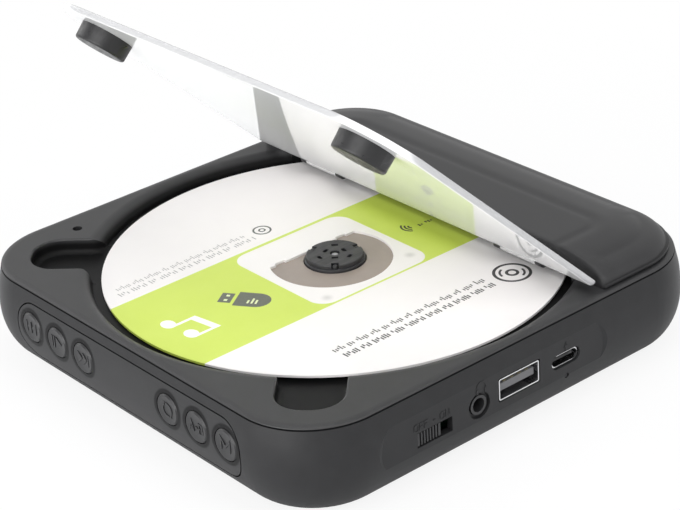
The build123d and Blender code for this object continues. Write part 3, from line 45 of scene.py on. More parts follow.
class Maker:
    """Adds nodes to one material and links them by value or socket."""

    def __init__(self, name):
        self.material = bpy.data.materials.new(name)
        self.material.use_nodes = True
        self.tree = self.material.node_tree
        self.tree.nodes.clear()
        self.output = self.tree.nodes.new("ShaderNodeOutputMaterial")
        self.shader = self.tree.nodes.new("ShaderNodeBsdfPrincipled")
        self.tree.links.new(self.shader.outputs[0], self.output.inputs[0])

    def put(self, socket, value):
        if isinstance(value, bpy.types.NodeSocket):
            self.tree.links.new(value, socket)
        elif hasattr(socket.default_value, "__len__") and not hasattr(value, "__len__"):
            socket.default_value = [value] * len(socket.default_value)
        elif hasattr(value, "__len__") and len(value) == 3 and len(socket.default_value) == 4:
            socket.default_value = (*value, 1.0)
        else:
            socket.default_value = value

    def set(self, **values):
        for key, value in values.items():
            self.put(self.shader.inputs[key.replace("_", " ")], value)

    def place(self):
        """Coordinates of the part's own frame, in metres."""
        return self.tree.nodes.new("ShaderNodeTexCoord").outputs["Object"]

    def scaled(self, scale):
        mapping = self.tree.nodes.new("ShaderNodeMapping")
        self.tree.links.new(self.place(), mapping.inputs["Vector"])
        mapping.inputs["Scale"].default_value = scale
        return mapping.outputs[0]

    def noise(self, scale, detail=3.0, roughness=0.55, stretch=(1, 1, 1)):
        node = self.tree.nodes.new("ShaderNodeTexNoise")
        node.inputs["Scale"].default_value = scale
        node.inputs["Detail"].default_value = detail
        node.inputs["Roughness"].default_value = roughness
        self.tree.links.new(self.scaled(stretch), node.inputs["Vector"])
        return node.outputs["Fac"]

    def math(self, operation, a, b=0.0):
        node = self.tree.nodes.new("ShaderNodeMath")
        node.operation = operation
        for socket, value in zip(node.inputs, (a, b)):
            self.put(socket, value)
        return node.outputs[0]

    def length(self, a, b):
        """Length of the two legs of a right angle."""
        return self.math("SQRT", self.math("ADD", self.math("MULTIPLY", a, a), self.math("MULTIPLY", b, b)))

    def remap(self, value, low, high, out_low, out_high, smooth=False):
        node = self.tree.nodes.new("ShaderNodeMapRange")
        node.interpolation_type = "SMOOTHSTEP" if smooth else "LINEAR"
        for socket, entry in zip(node.inputs, (value, low, high, out_low, out_high)):
            self.put(socket, entry)
        return node.outputs[0]

    def blend(self, factor, a, b):
        node = self.tree.nodes.new("ShaderNodeMix")
        node.data_type = "RGBA"
        self.put(node.inputs[0], factor)
        self.put(node.inputs[6], a)
        self.put(node.inputs[7], b)
        return node.outputs[2]

    def axes(self):
        node = self.tree.nodes.new("ShaderNodeSeparateXYZ")
        self.tree.links.new(self.place(), node.inputs[0])
        return node.outputs

    def soft_normal(self, radius):
        """Shading normal averaged over a radius, which softens creases between faces."""
        node = self.tree.nodes.new("ShaderNodeBevel")
        node.samples = 8
        node.inputs["Radius"].default_value = radius
        return node.outputs[0]

    def bump(self, height, strength, distance, normal=None):
        node = self.tree.nodes.new("ShaderNodeBump")
        self.put(node.inputs["Height"], height)
        node.inputs["Strength"].default_value = strength
        node.inputs["Distance"].default_value = distance
        if normal is not None:
            self.tree.links.new(normal, node.inputs["Normal"])
        return node.outputs[0]


MOTTLE = 240.0
HOLE_SHADE = 0.0004


def moulded(name, colour, roughness, grain=2600.0, grain_height=0.00002, spread=0.1,
            coat=0.0, sheen=0.0, gloss=0.5, painted_shade_below=None, painted_shade_rings=(), soft=0.0):
    """Moulded plastic: a fine spark grain, slow colour and gloss changes, faint dust and optional painted
    shade.

    painted_shade_below is the stretch of heights below which hollows get painted shade, darker and duller,
    painted_shade_rings lists the x, z and radius of holes that get a painted shade ring at their edge, and
    soft is the radius over which creases are shaded round.
    """
    m = Maker(name)
    slow = m.noise(MOTTLE, 4.0)
    fine = m.noise(grain, 2.0)
    dust = m.noise(900.0, 6.0, 0.7)
    low = [c * (1 - spread) for c in colour]
    high = [c * (1 + spread) for c in colour]
    base = m.blend(m.remap(slow, 0.3, 0.7, 0, 1), low, high)
    specks = m.remap(dust, 0.70, 0.82, 0, 0.08)
    base = m.blend(specks, base, [min(1.0, c * 2.2 + 0.03) for c in colour])
    if painted_shade_below:
        # painted shade: the walls of hollows are painted darker and duller than the open face, standing in
        # for the shade in them
        rise = m.remap(m.axes()[2], *painted_shade_below, 0, 1, smooth=True)
        base = m.blend(rise, [c * 0.25 for c in colour], base)
        gloss = m.remap(rise, 0, 1, gloss * 0.3, gloss)
    for hole_x, hole_z, hole_r in painted_shade_rings:
        # painted shade: a thin ring at each hole's edge is painted darker and duller, standing in for the
        # shade in its gap
        x, _, z = m.axes()
        off_x, off_z = m.math("SUBTRACT", x, hole_x), m.math("SUBTRACT", z, hole_z)
        ring_shade = m.remap(m.length(off_x, off_z), hole_r, hole_r + HOLE_SHADE, 0.8, 0)
        base = m.blend(ring_shade, base, [c * 0.25 for c in colour])
        gloss = m.math("MULTIPLY", m.remap(ring_shade, 0, 1, 1.0, 0.25), gloss)
    m.set(
        Base_Color=base,
        Roughness=m.remap(slow, 0.2, 0.8, roughness - 0.012, roughness + 0.012),
        Normal=m.bump(fine, 0.5, grain_height, m.soft_normal(soft) if soft else None),
        Specular_IOR_Level=gloss,
        Coat_Weight=coat,
        Coat_Roughness=0.1,
        Sheen_Weight=sheen,
    )
    return m.material


def polish(m, roughness):
    """Long soft waves and faint rub marks in the gloss. Returns the waves."""
    slow = m.noise(60.0, 2.0)
    rubs = m.noise(700.0, 5.0, 0.7, (1.0, 0.12, 1.0))
    m.set(
        Roughness=m.remap(rubs, 0.35, 0.75, roughness, roughness * 2.2 + 0.02),
        Normal=m.bump(slow, 0.3, 0.00003),
    )
    return slow


def polished(name, colour, roughness, spread=0.06, **more):
    """Polished plastic or glass-like moulding in one colour."""
    m = Maker(name)
    slow = polish(m, roughness)
    low = [c * (1 - spread) for c in colour]
    high = [min(1, c * (1 + spread)) for c in colour]
    m.set(Base_Color=m.blend(m.remap(slow, 0.3, 0.7, 0, 1), low, high), **more)
    return m.material


def plated(name, colour, roughness, streak=(1, 1, 12)):
    """Plated or brushed metal with drawn streaks and tarnish."""
    m = Maker(name)
    lines = m.noise(1800.0, 3.0, 0.6, streak)
    cloud = m.noise(320.0, 4.0)
    base = m.blend(m.remap(cloud, 0.3, 0.75, 0, 1), colour, [c * 0.72 for c in colour])
    m.set(
        Base_Color=base,
        Metallic=1.0,
        Roughness=m.remap(lines, 0.2, 0.8, roughness * 0.7, roughness * 1.4),
        Normal=m.bump(lines, 0.25, 0.00001),
    )
    return m.material


def assign(material, *names):
    for name in names:
        slots = nodes[name].data.materials
        slots.clear()
        slots.append(material)
        for polygon in nodes[name].data.polygons:
            polygon.material_index = 0


# ---- materials ----------------------------------------------------------------------------------

BUTTONS = ("button_previous", "button_play", "button_next", "button_repeat", "button_a_b", "button_mode")
button_holes = []
for button in BUTTONS:
    low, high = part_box(button)
    button_holes.append(((low[0] + high[0]) / 2, (low[2] + high[2]) / 2, (high[0] - low[0]) / 2))

body_dark = moulded("body_dark", (0.016, 0.016, 0.017), 0.44, gloss=0.29)
cover_dark = moulded("cover_dark", (0.017, 0.017, 0.018), 0.46, gloss=0.38, soft=0.0025)
# the plate's material paints a ring of shade round each button hole
plate_dark = moulded("plate_dark", (0.017, 0.017, 0.018), 0.44, gloss=0.36, painted_shade_rings=button_holes)
# the deck's material paints shade on the walls of the disc well and its notches
deck_dark = moulded("deck_dark", (0.024, 0.024, 0.025), 0.44, gloss=0.40, painted_shade_below=(0.0236, 0.0250))
button_dark = moulded("button_dark", (0.018, 0.018, 0.019), 0.34, gloss=0.4)
inner_black = moulded("inner_black", (0.016, 0.016, 0.017), 0.5, grain=1800.0)
knob_black = moulded("knob_black", (0.018, 0.018, 0.019), 0.38, grain=3000.0)
acetal_white = moulded("acetal_white", (0.74, 0.74, 0.70), 0.4, spread=0.04)
tongue_grey = moulded("tongue_grey", (0.12, 0.12, 0.125), 0.45, spread=0.06)
board_green = moulded("board_green", (0.006, 0.030, 0.014), 0.4, grain=1200.0, coat=0.1)
foot_rubber = moulded("foot_rubber", (0.022, 0.022, 0.023), 0.72, grain=1500.0, sheen=0.2)
cone_paper = moulded("cone_paper", (0.04, 0.038, 0.036), 0.8, grain=700.0, grain_height=0.00008)
battery_film = moulded("battery_film", (0.16, 0.19, 0.24), 0.3, grain=500.0, spread=0.08)
cover_taupe = moulded("cover_taupe", (0.325, 0.275, 0.243), 0.38, grain=3200.0, spread=0.03)
nickel = plated("nickel", (0.78, 0.78, 0.79), 0.16)
zinc = plated("zinc", (0.46, 0.46, 0.48), 0.34, (1, 1, 1))
gold = plated("gold", (0.86, 0.74, 0.44), 0.2, (8, 1, 1))

LID_TURN = math.radians(43.3)
LID_SIDE = max(vertex.co.x for vertex in nodes["lid"].data.vertices)
LID_RIM_START, LID_RIM_END = 0.0875, 0.0882
SIDE_RIM_START, SIDE_RIM_END = LID_SIDE - 0.0012, LID_SIDE - 0.0004


def lid_material():
    """Milky acrylic, with painted shade on the cut rims at the free edge and at the socket side, which are
    darker and glow less.
    """
    m = Maker("lid_milky")
    polish(m, 0.008)
    x, y, z = m.axes()
    # distance from the hinge along the plate
    reach = m.math("SUBTRACT", m.math("MULTIPLY", z, math.sin(LID_TURN)),
                   m.math("MULTIPLY", y, math.cos(LID_TURN)))
    # painted shade: the strips along the cut rims are painted darker, with less subsurface glow
    rim_shade = m.remap(reach, LID_RIM_START, LID_RIM_END, 0, 1)
    rim_shade = m.math("MAXIMUM", rim_shade, m.remap(x, SIDE_RIM_START, SIDE_RIM_END, 0, 1))
    m.set(
        Base_Color=m.blend(rim_shade, (0.90, 0.90, 0.90), (0.46, 0.46, 0.465)),
        IOR=1.49,
        Subsurface_Weight=m.remap(rim_shade, 0, 1, 0.9, 0.3),
        Subsurface_Radius=(0.008, 0.008, 0.008),
        Subsurface_Scale=1.0,
    )
    return m.material


lid_milky = lid_material()
pad_gloss = polished("pad_gloss", (0.010, 0.010, 0.011), 0.26, spread=0.15, IOR=1.5)
hub_black = polished("hub_black", (0.024, 0.024, 0.026), 0.30, spread=0.1)
lens_blue = polished("lens_blue", (0.35, 0.48, 0.72), 0.03, Transmission_Weight=0.7, IOR=1.52)
lamp_clear = polished("lamp_clear", (0.02, 0.02, 0.022), 0.12, Specular_IOR_Level=0.3)

# the card's print, from its middle in x and y
BAND = (-0.01954, 0.01896)
SQUARE_AT = (-0.00009, -0.00096)
SQUARE_HALF = 0.01835
SQUARE_CORNER = 0.0047
GREY_SPOTS = ((0.01326, 0.01414), (0.01526, -0.01516))
GREY_SPOT_R = 0.0021
PRINT_EDGE = 0.00008


def card_material():
    """Coated card: off-white ground, a green band along Y, a white rounded square and two soft grey spots,
    darkest at their middles.
    """
    m = Maker("card_print")
    x, y, _ = m.axes()
    fibre = m.noise(3400.0, 3.0)
    cloud = m.noise(140.0, 3.0)

    def between(value, low, high):
        rise = m.remap(value, low - PRINT_EDGE, low + PRINT_EDGE, 0, 1)
        fall = m.remap(value, high - PRINT_EDGE, high + PRINT_EDGE, 1, 0)
        return m.math("MULTIPLY", rise, fall)

    def past_core(value, middle):
        off = m.math("ABSOLUTE", m.math("ADD", value, -middle))
        return m.math("MAXIMUM", m.math("SUBTRACT", off, SQUARE_HALF - SQUARE_CORNER), 0.0)

    away = m.length(past_core(x, SQUARE_AT[0]), past_core(y, SQUARE_AT[1]))
    square = m.remap(away, SQUARE_CORNER - PRINT_EDGE, SQUARE_CORNER + PRINT_EDGE, 1, 0)
    green = m.math("MULTIPLY", between(x, *BAND), m.math("SUBTRACT", 1.0, square))
    paper = m.blend(m.remap(cloud, 0.3, 0.7, 0, 1), (0.87, 0.845, 0.835), (0.88, 0.855, 0.845))
    ink = m.blend(m.remap(cloud, 0.3, 0.7, 0, 1), (0.585, 0.715, 0.105), (0.60, 0.73, 0.115))
    colour = m.blend(green, paper, ink)
    # two soft grey round spots, darkest at their middles
    for spot_x, spot_y in GREY_SPOTS:
        gap = m.length(m.math("SUBTRACT", x, spot_x), m.math("SUBTRACT", y, spot_y))
        colour = m.blend(m.remap(gap, 0.0, GREY_SPOT_R, 0.42, 0.0, smooth=True), colour, (0.40, 0.39, 0.38))
    m.set(
        Base_Color=colour,
        Roughness=m.remap(fibre, 0.3, 0.7, 0.34, 0.46),
        Normal=m.bump(fibre, 0.35, 0.00001),
    )
    return m.material


card_print = card_material()

assign(body_dark, "bottom_case")
assign(cover_dark, "rear_cover")
assign(plate_dark, "button_plate")
assign(deck_dark, "top_deck")
assign(button_dark, *BUTTONS)
assign(inner_black, "mech_chassis", "pickup_sled", "switch_body", "tact_switches", "usb_c_tongue",
       "usb_c_riser", "speaker_frames", "board_chips", "clamp_pawls")
assign(knob_black, "switch_knob", "headphone_jack")
assign(acetal_white, "sled_gear", "sled_rack", "motor_pinion")
assign(tongue_grey, "usb_a_tongue")
assign(board_green, "main_board", "button_board")
assign(foot_rubber, "rubber_feet", "dampers")
assign(cone_paper, "speaker_cones")
assign(battery_film, "battery")
assign(cover_taupe, "mech_cover")
assign(nickel, "usb_a_shell", "usb_c_shell", "hinge_pins", "guide_rods", "latch_magnets", "pad_magnets")
assign(gold, "usb_a_contacts")
assign(zinc, "spindle_motor", "sled_motor", "case_screws", "cover_screws", "chassis_screws", "board_screws",
       "speaker_magnets", "spindle_shaft")
assign(lid_milky, "lid")
assign(pad_gloss, "lid_pads")
assign(hub_black, "disc_hub")
assign(lens_blue, "objective_lens")
assign(lamp_clear, "charge_lamp", "lid_sensor")
assign(card_print, "printed_card")


# ---- mesh helpers -------------------------------------------------------------------------------

def add_piece(name, mesh, material, body):
    mesh.materials.append(material)
    piece = bpy.data.objects.new(name, mesh)
    bpy.context.scene.collection.objects.link(piece)
    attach(piece, body)
    return piece


def ribbon(bm, points, width, height, closed=False):
    """Flat bar of even width along points of the local XY plane, from z 0 up to height."""
    pts = [Vector((x, y)) for x, y in points]
    count = len(pts)
    sides = []
    for i, here in enumerate(pts):
        before = pts[i - 1] if (i > 0 or closed) else None
        after = pts[(i + 1) % count] if (i < count - 1 or closed) else None
        d1 = (here - before).normalized() if before is not None else (after - here).normalized()
        d2 = (after - here).normalized() if after is not None else d1
        n1 = Vector((-d1.y, d1.x))
        n2 = Vector((-d2.y, d2.x))
        mitre = (n1 + n2).normalized()
        reach = width / 2 / max(0.35, mitre.dot(n1))
        sides.append((here + mitre * reach, here - mitre * reach))
    rows = []
    for left, right in sides:
        rows.append([bm.verts.new((p.x, p.y, z)) for p in (left, right) for z in (0.0, height)])
    steps = count if closed else count - 1
    for i in range(steps):
        a, b = rows[i], rows[(i + 1) % count]
        for j, k in ((0, 1), (1, 3), (3, 2), (2, 0)):
            bm.faces.new((a[j], a[k], b[k], b[j]))
    if not closed:
        bm.faces.new([rows[0][i] for i in (0, 2, 3, 1)])
        bm.faces.new([rows[-1][i] for i in (0, 1, 3, 2)])


def plate(bm, points, height):
    """Flat prism on an outline in the local XY plane."""
    low = [bm.verts.new((x, y, 0.0)) for x, y in points]
    high = [bm.verts.new((x, y, height)) for x, y in points]
    bm.faces.new(list(reversed(low)))
    bm.faces.new(high)
    for i in range(len(points)):
        j = (i + 1) % len(points)
        bm.faces.new((low[i], low[j], high[j], high[i]))


def arc(cx, cy, radius, start, end, steps=14):
    angles = [math.radians(start + (end - start) * k / steps) for k in range(steps + 1)]
    return [(cx + radius * math.cos(a), cy + radius * math.sin(a)) for a in angles]


def circle(cx, cy, radius, steps=28):
    return arc(cx, cy, radius, 0, 360 - 360 / steps, steps - 1)


def finish_mesh(bm, name, origin, x_dir, z_dir):
    """Turns local drawing coordinates in mm into a mesh in the part's frame."""
    z = Vector(z_dir).normalized()
    x = Vector(x_dir).normalized()
    y = z.cross(x)
    turn = Matrix((x, y, z)).transposed().to_4x4()
    bmesh.ops.recalc_face_normals(bm, faces=bm.faces)
    bm.transform(Matrix.Translation(Vector(origin) * MM) @ turn @ Matrix.Scale(MM, 4))
    mesh = bpy.data.meshes.new(name)
    bm.to_mesh(mesh)
    bm.free()
    return mesh


def drawn(name, draw, origin, x_dir, z_dir, material, body):
    bm = bmesh.new()
    draw(bm)
    return add_piece(name, finish_mesh(bm, name, origin, x_dir, z_dir), material, body)


# ---- stroke letters, 1 unit high ----------------------------------------------------------------

LETTERS = {
    "A": [([(0, 0), (0.36, 1), (0.72, 0)], False), ([(0.15, 0.34), (0.57, 0.34)], False)],
    "B": [([(0, 0), (0, 1), (0.36, 1), (0.56, 0.88), (0.56, 0.64), (0.38, 0.53), (0.62, 0.4), (0.62, 0.13),
            (0.4, 0)], True),
          ([(0, 0.53), (0.38, 0.53)], False)],
    "M": [([(0, 0), (0, 1), (0.4, 0.35), (0.8, 1), (0.8, 0)], False)],
    "O": [([(0.2, 0), (0.5, 0), (0.7, 0.2), (0.7, 0.8), (0.5, 1), (0.2, 1), (0, 0.8), (0, 0.2)], True)],
    "N": [([(0, 0), (0, 1), (0.6, 0), (0.6, 1)], False)],
    "F": [([(0, 0), (0, 1), (0.56, 1)], False), ([(0, 0.52), (0.46, 0.52)], False)],
    "-": [([(0.05, 0.5), (0.4, 0.5)], False)],
}
ADVANCE = {"A": 0.95, "B": 0.9, "M": 1.08, "O": 0.98, "N": 0.88, "F": 0.82, "-": 0.66, " ": 0.6}


def write(bm, text, size, width, height, at=(0.0, 0.0), stretch=1.0):
    """Stroke letters centred on at, size high and stretched sideways."""
    wide = size * stretch
    total = sum(ADVANCE[c] for c in text) - 0.25
    cursor = at[0] - total * wide / 2
    for c in text:
        for points, closed in LETTERS.get(c, []):
            line = [(cursor + px * wide, at[1] + (py - 0.5) * size) for px, py in points]
            ribbon(bm, line, width, height, closed)
        cursor += ADVANCE[c] * wide


# ---- raised symbols on the buttons --------------------------------------------------------------

def triangle(bm, tip_x, base_x, half, height):
    plate(bm, [(tip_x, 0), (base_x, half), (base_x, -half)] if tip_x < base_x
          else [(tip_x, 0), (base_x, -half), (base_x, half)], height)


# height of a symbol, half its size across, and the width of its bars, in mm
GLYPH = 0.29
HALF = 1.6
BAR = 0.45


def previous_symbol(bm):
    ribbon(bm, [(-2.15, -HALF), (-2.15, HALF)], BAR, GLYPH)
    triangle(bm, -1.75, -0.15, HALF, GLYPH)
    triangle(bm, 0.1, 1.9, HALF, GLYPH)


def next_symbol(bm):
    triangle(bm, -0.1, -1.9, HALF, GLYPH)
    triangle(bm, 1.75, 0.15, HALF, GLYPH)
    ribbon(bm, [(2.15, -HALF), (2.15, HALF)], BAR, GLYPH)


def play_symbol(bm):
    ribbon(bm, [(-2.0, -HALF), (-2.0, HALF)], BAR, GLYPH)
    ribbon(bm, [(-1.05, -HALF), (-1.05, HALF)], BAR, GLYPH)
    triangle(bm, 2.1, -0.25, HALF, GLYPH)


def repeat_symbol(bm):
    ribbon(bm, arc(0, 0, 1.65, 110, -55, 12), 0.42, GLYPH)
    ribbon(bm, arc(0, 0, 1.65, -70, -235, 12), 0.42, GLYPH)
    plate(bm, [(0.6, -2.1), (1.65, -1.8), (1.2, -0.85)], GLYPH * 0.9)
    plate(bm, [(-0.6, 2.1), (-1.65, 1.8), (-1.2, 0.85)], GLYPH * 0.9)


def a_b_symbol(bm):
    write(bm, "A-B", 2.6, 0.42, GLYPH, stretch=0.86)


def mode_symbol(bm):
    write(bm, "M", 3.0, 0.5, GLYPH, stretch=1.35)


BUTTON_Z = 15.5
DISH_Y = -67.6
for body, x, draw in (
    ("previous_button", -38.2, previous_symbol),
    ("play_button", -27.0, play_symbol),
    ("next_button", -15.7, next_symbol),
    ("repeat_button", 18.9, repeat_symbol),
    ("a_b_button", 30.0, a_b_symbol),
    ("mode_button", 41.0, mode_symbol),
):
    drawn("symbol_" + body, draw, (x, DISH_Y, BUTTON_Z), (1, 0, 0), (0, -1, 0), button_dark, body)


# ---- raised legends beside the sockets ----------------------------------------------------------

LAND_X = 67.95
RAISED = 0.17
LEGEND_Z = 16.4
LEGEND_SIZE = 1.75
LEGEND_LINE = 0.24
HEADPHONES_AT = (-13.7, 18.5)


def switch_legend(bm):
    for text, y in (("OFF", -32.6), ("-", -28.6), ("ON", -25.2)):
        write(bm, text, LEGEND_SIZE, LEGEND_LINE, RAISED, (y, LEGEND_Z))


def headphone_symbol(bm):
    ribbon(bm, arc(*HEADPHONES_AT, 1.45, 200, -20, 16), LEGEND_LINE, RAISED)
    for side in (-1, 1):
        cx = HEADPHONES_AT[0] + side * 1.3
        plate(bm, [(cx - 0.34, 17.0), (cx + 0.34, 17.0), (cx + 0.34, 18.3), (cx - 0.34, 18.3)], RAISED)


def power_symbol(bm):
    flash = [(14.3, 19.0), (13.45, 17.6), (14.05, 17.6), (13.75, 16.6), (14.7, 18.05), (14.1, 18.05)]
    plate(bm, flash, RAISED)


for name, draw in (("legend_switch", switch_legend), ("legend_headphones", headphone_symbol),
                   ("legend_power", power_symbol)):
    drawn(name, draw, (LAND_X, 0, 0), (0, 1, 0), (1, 0, 0), body_dark, "case")


# ---- print on the card --------------------------------------------------------------------------

CARD_Z = 22.99
PRINT_AT = (0.46, -0.36)
INK = 0.025
STICK_AT = (-4.9, -32.94)
STICK_TURN = math.radians(34)
NOTE_HEADS = ((-3.2, -50.2), (4.6, -49.0))
DISC_ICON_AT = (-26.3, -2.4)
ARCS_AT = (1.0, 25.8)
SYMBOL_AT = (38.6, 25.4)


def ink_material(name, colour):
    m = Maker(name)
    fibre = m.noise(3400.0, 3.0)
    m.set(
        Base_Color=m.blend(m.remap(fibre, 0.35, 0.7, 0, 1), colour,
                           [min(1.0, c * 1.25 + 0.01) for c in colour]),
        Roughness=m.remap(fibre, 0.3, 0.7, 0.34, 0.46),
    )
    return m.material


ink_dark = ink_material("ink_dark", (0.075, 0.085, 0.075))
ink_grey = ink_material("ink_grey", (0.33, 0.32, 0.32))
ink_black = ink_material("ink_black", (0.03, 0.03, 0.03))
ink_white = ink_material("ink_white", (0.86, 0.83, 0.82))
ink_olive = ink_material("ink_olive", (0.10, 0.11, 0.085))
ink_pale = ink_material("ink_pale", (0.70, 0.76, 0.45))


def ticks(bm, x, start, end, pitch, reaches, words, width):
    """A line of cross ticks along +Y in groups, in place of small print."""
    y, k, group = start, 0, 0
    while y < end:
        for _ in range(words[group % len(words)]):
            low, high = reaches[k % len(reaches)]
            ribbon(bm, [(x - high, y), (x - low, y)], width, INK)
            y, k = y + pitch, k + 1
            if y >= end:
                break
        y, group = y + pitch * 1.1, group + 1


def left_lines(bm):
    ticks(bm, -26.4, -48.4, -7.6, 0.62, ((0, 1.3), (0, 1.0), (0.5, 1.3), (0, 1.9), (0, 0.9), (-0.4, 1.2)),
          (7, 5, 8, 3, 6, 9, 4), 0.24)
    ticks(bm, -23.3, -49.6, -6.6, 0.78, ((0, 1.9), (0.2, 1.5), (0.9, 1.9), (0, 1.2), (0.1, 1.8)),
          (4, 6, 3, 7, 5), 0.3)


def right_lines(bm):
    ticks(bm, 36.9, -30.8, 18.2, 0.72, ((0, 1.4), (0, 1.1), (0.5, 1.4), (0, 2.0), (0, 1.0), (-0.4, 1.3)),
          (5, 3, 5, 4, 3, 5, 3, 4, 6), 0.36)
    ticks(bm, 40.6, -30.2, 18.4, 0.74, ((0, 2.0), (0.2, 1.6), (0.9, 2.0), (0, 1.3), (0.1, 1.9)),
          (6, 4, 7, 5, 8), 0.42)


def on_stick(points):
    """From lengths along and across the memory stick to the card."""
    along = Vector((math.cos(STICK_TURN), math.sin(STICK_TURN)))
    across = Vector((along.y, -along.x))
    return [Vector(STICK_AT) + along * a + across * c for a, c in points]


def stick_icon(bm):
    """Memory stick: a plug and a body with a round end."""
    plate(bm, on_stick([(0, -2.4), (3.3, -2.4), (3.3, 2.4), (0, 2.4)]), INK)
    turns = [math.radians(-90 + 15 * k) for k in range(13)]
    end = [(9.5 + 3.7 * math.cos(a), 3.5 * math.sin(a)) for a in turns]
    plate(bm, on_stick([(4.2, 3.5), (4.2, -3.5)] + end), INK)


def stick_marks(bm):
    """Two windows in the plug and three short bars on the body."""
    for c in (-1.15, 1.15):
        plate(bm, on_stick([(1.35, c - 0.42), (2.25, c - 0.42), (2.25, c + 0.42), (1.35, c + 0.42)]), INK * 2)
    for k, reach in enumerate((1.6, 2.6, 2.0)):
        a = 7.4 + 1.05 * k
        plate(bm, on_stick([(a, 1.9 - reach), (a + 0.5, 1.9 - reach), (a + 0.5, 1.9), (a, 1.9)]), INK * 2)


def note_icon(bm):
    """A pair of notes under one beam."""
    turns = [k * math.tau / 24 for k in range(24)]
    for cx, cy in NOTE_HEADS:
        plate(bm, [(cx + 2.2 * math.cos(a), cy + 1.8 * math.sin(a)) for a in turns], INK)
    ribbon(bm, [(-1.5, -50.2), (-1.5, -44.0)], 0.9, INK * 1.3)
    ribbon(bm, [(6.3, -49.0), (6.3, -42.8)], 0.9, INK * 1.3)
    plate(bm, [(-1.95, -45.0), (6.75, -43.6), (6.75, -41.6), (-1.95, -43.0)], INK * 1.6)


def disc_icon(bm):
    ribbon(bm, circle(*DISC_ICON_AT, 2.3), 0.5, INK, closed=True)
    ribbon(bm, circle(*DISC_ICON_AT, 0.8, 16), 0.45, INK, closed=True)


def arcs_icon(bm):
    for k in range(3):
        ribbon(bm, arc(*ARCS_AT, 0.9 + 0.95 * k, 215, 325, 8), 0.5, INK)
    ticks(bm, 2.6, 27.6, 32.0, 0.8, ((0, 1.1), (0.2, 0.8), (0.4, 1.3)), (2, 3), 0.5)


def disc_symbol(bm):
    ribbon(bm, circle(*SYMBOL_AT, 4.6, 40), 0.8, INK, closed=True)
    ribbon(bm, circle(*SYMBOL_AT, 1.4, 24), 0.8, INK, closed=True)
    ribbon(bm, arc(*SYMBOL_AT, 3.1, 15, 85, 8), 0.6, INK)
    ribbon(bm, arc(*SYMBOL_AT, 3.1, 195, 265, 8), 0.6, INK)


for name, draw, material in (
    ("print_left_lines", left_lines, ink_grey),
    ("print_right_lines", right_lines, ink_black),
    ("print_stick_icon", stick_icon, ink_olive),
    ("print_stick_marks", stick_marks, ink_pale),
    ("print_note_icon", note_icon, ink_white),
    ("print_disc_icon", disc_icon, ink_dark),
    ("print_arcs_icon", arcs_icon, ink_black),
    ("print_disc_symbol", disc_symbol, ink_black),
):
    drawn(name, draw, (*PRINT_AT, CARD_Z), (1, 0, 0), (0, 0, 1), material, "case")


# ---- floor, light and camera --------------------------------------------------------------------

FLOOR_SIZE = 3.0
FLOOR_DROP = 0.05 * MM


def floor_material():
    """White floor that keeps the object's shadow and fades to plain white away from it."""
    m = Maker("floor_white")
    m.set(Base_Color=(0.92, 0.92, 0.92), Roughness=0.6, Specular_IOR_Level=0.2)
    tree = m.tree
    glow = tree.nodes.new("ShaderNodeEmission")
    glow.inputs["Color"].default_value = (1, 1, 1, 1)
    glow.inputs["Strength"].default_value = 1.0
    path = tree.nodes.new("ShaderNodeLightPath")
    x, y, _ = m.axes()
    away = m.length(x, y)
    plain = m.math("MULTIPLY", path.outputs["Is Camera Ray"],
                   m.remap(away, 0.07, 0.24, 0.86, 1.0, smooth=True))
    mirrored = m.math("MAXIMUM", path.outputs["Is Glossy Ray"], path.outputs["Is Transmission Ray"])
    mirrored = m.math("MULTIPLY", mirrored, m.remap(away, 0.10, 0.30, 0.0, 1.0, smooth=True))
    mixer = tree.nodes.new("ShaderNodeMixShader")
    tree.links.new(m.math("MAXIMUM", plain, mirrored), mixer.inputs[0])
    tree.links.new(m.shader.outputs[0], mixer.inputs[1])
    tree.links.new(glow.outputs[0], mixer.inputs[2])
    tree.links.new(mixer.outputs[0], m.output.inputs[0])
    return m.material


bm = bmesh.new()
bmesh.ops.create_grid(bm, x_segments=8, y_segments=8, size=FLOOR_SIZE)
floor_mesh = bpy.data.meshes.new("floor")
bm.to_mesh(floor_mesh)
bm.free()
floor_mesh.materials.append(floor_material())
floor = bpy.data.objects.new("floor", floor_mesh)
floor.location.z = -FLOOR_DROP
bpy.context.scene.collection.objects.link(floor)

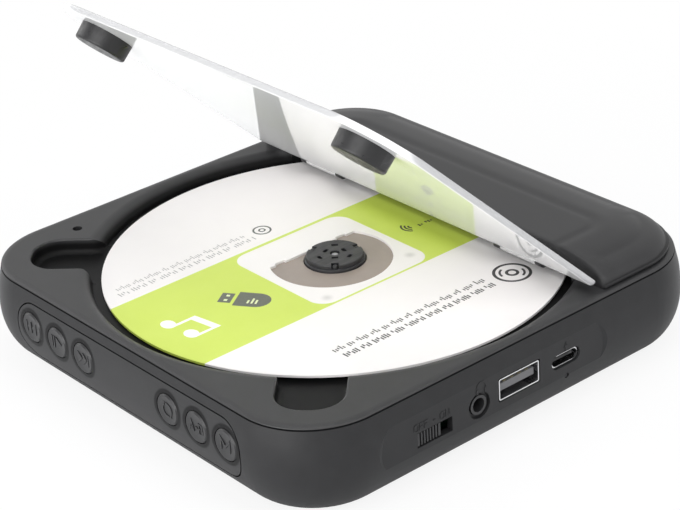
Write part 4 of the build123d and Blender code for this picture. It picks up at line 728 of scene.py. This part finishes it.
world = bpy.data.worlds.new("studio")
world.use_nodes = True
tree = world.node_tree
tree.nodes.clear()
out = tree.nodes.new("ShaderNodeOutputWorld")
plain = tree.nodes.new("ShaderNodeBackground")
plain.inputs["Color"].default_value = (0.95, 0.97, 1.0, 1)
plain.inputs["Strength"].default_value = 0.45
white = tree.nodes.new("ShaderNodeBackground")
white.inputs["Color"].default_value = (1, 1, 1, 1)
white.inputs["Strength"].default_value = 1.0
path = tree.nodes.new("ShaderNodeLightPath")
mixer = tree.nodes.new("ShaderNodeMixShader")
seen = path.outputs["Is Camera Ray"]
for kind in ("Is Glossy Ray", "Is Transmission Ray"):
    either = tree.nodes.new("ShaderNodeMath")
    either.operation = "MAXIMUM"
    tree.links.new(seen, either.inputs[0])
    tree.links.new(path.outputs[kind], either.inputs[1])
    seen = either.outputs[0]
tree.links.new(seen, mixer.inputs[0])
tree.links.new(plain.outputs[0], mixer.inputs[1])
tree.links.new(white.outputs[0], mixer.inputs[2])
tree.links.new(mixer.outputs[0], out.inputs[0])
bpy.context.scene.world = world


def softbox(name, place, target, width, height, power):
    light = bpy.data.lights.new(name, "AREA")
    light.shape = "RECTANGLE"
    light.size = width
    light.size_y = height
    light.energy = power
    lamp = bpy.data.objects.new(name, light)
    lamp.location = place
    lamp.rotation_euler = (Vector(target) - Vector(place)).to_track_quat("-Z", "Y").to_euler()
    bpy.context.scene.collection.objects.link(lamp)


softbox("key_front", (0.35, -0.80, 0.72), (0, 0, 0.02), 1.0, 0.8, 5.6)
softbox("key_top", (0.0, 0.1, 1.0), (0, 0, 0), 0.8, 0.6, 2.5)
softbox("front_low", (0.1, -1.0, 0.17), (0, 0, 0.03), 1.0, 0.3, 5.8)
softbox("side_right", (0.8, 0.2, 0.65), (0, 0, 0.01), 0.5, 0.5, 2.8)
softbox("side_left", (-0.9, -0.2, 0.45), (0, 0, 0.01), 0.6, 0.5, 1.5)

CAMERA_AT = (0.384141, -0.307435, 0.275583)
AZIMUTH, ELEVATION, ROLL = (math.radians(v) for v in (51.141, 27.122, -3.857))
LENS, SENSOR = 115.0, 36.0
back = Vector((math.sin(AZIMUTH) * math.cos(ELEVATION), -math.cos(AZIMUTH) * math.cos(ELEVATION),
               math.sin(ELEVATION)))
right = Vector((0, 0, 1)).cross(back).normalized()
up = back.cross(right)
cam_x = math.cos(ROLL) * right + math.sin(ROLL) * up
cam_y = -math.sin(ROLL) * right + math.cos(ROLL) * up
camera_data = bpy.data.cameras.new("camera")
camera_data.sensor_width = SENSOR
camera_data.lens = LENS
camera_data.clip_start = 0.01
camera = bpy.data.objects.new("camera", camera_data)
turn = Matrix((cam_x, cam_y, back)).transposed().to_4x4()
camera.matrix_world = Matrix.Translation(Vector(CAMERA_AT)) @ turn
bpy.context.scene.collection.objects.link(camera)
bpy.context.scene.camera = camera
bpy.context.scene.view_settings.view_transform = "Standard"
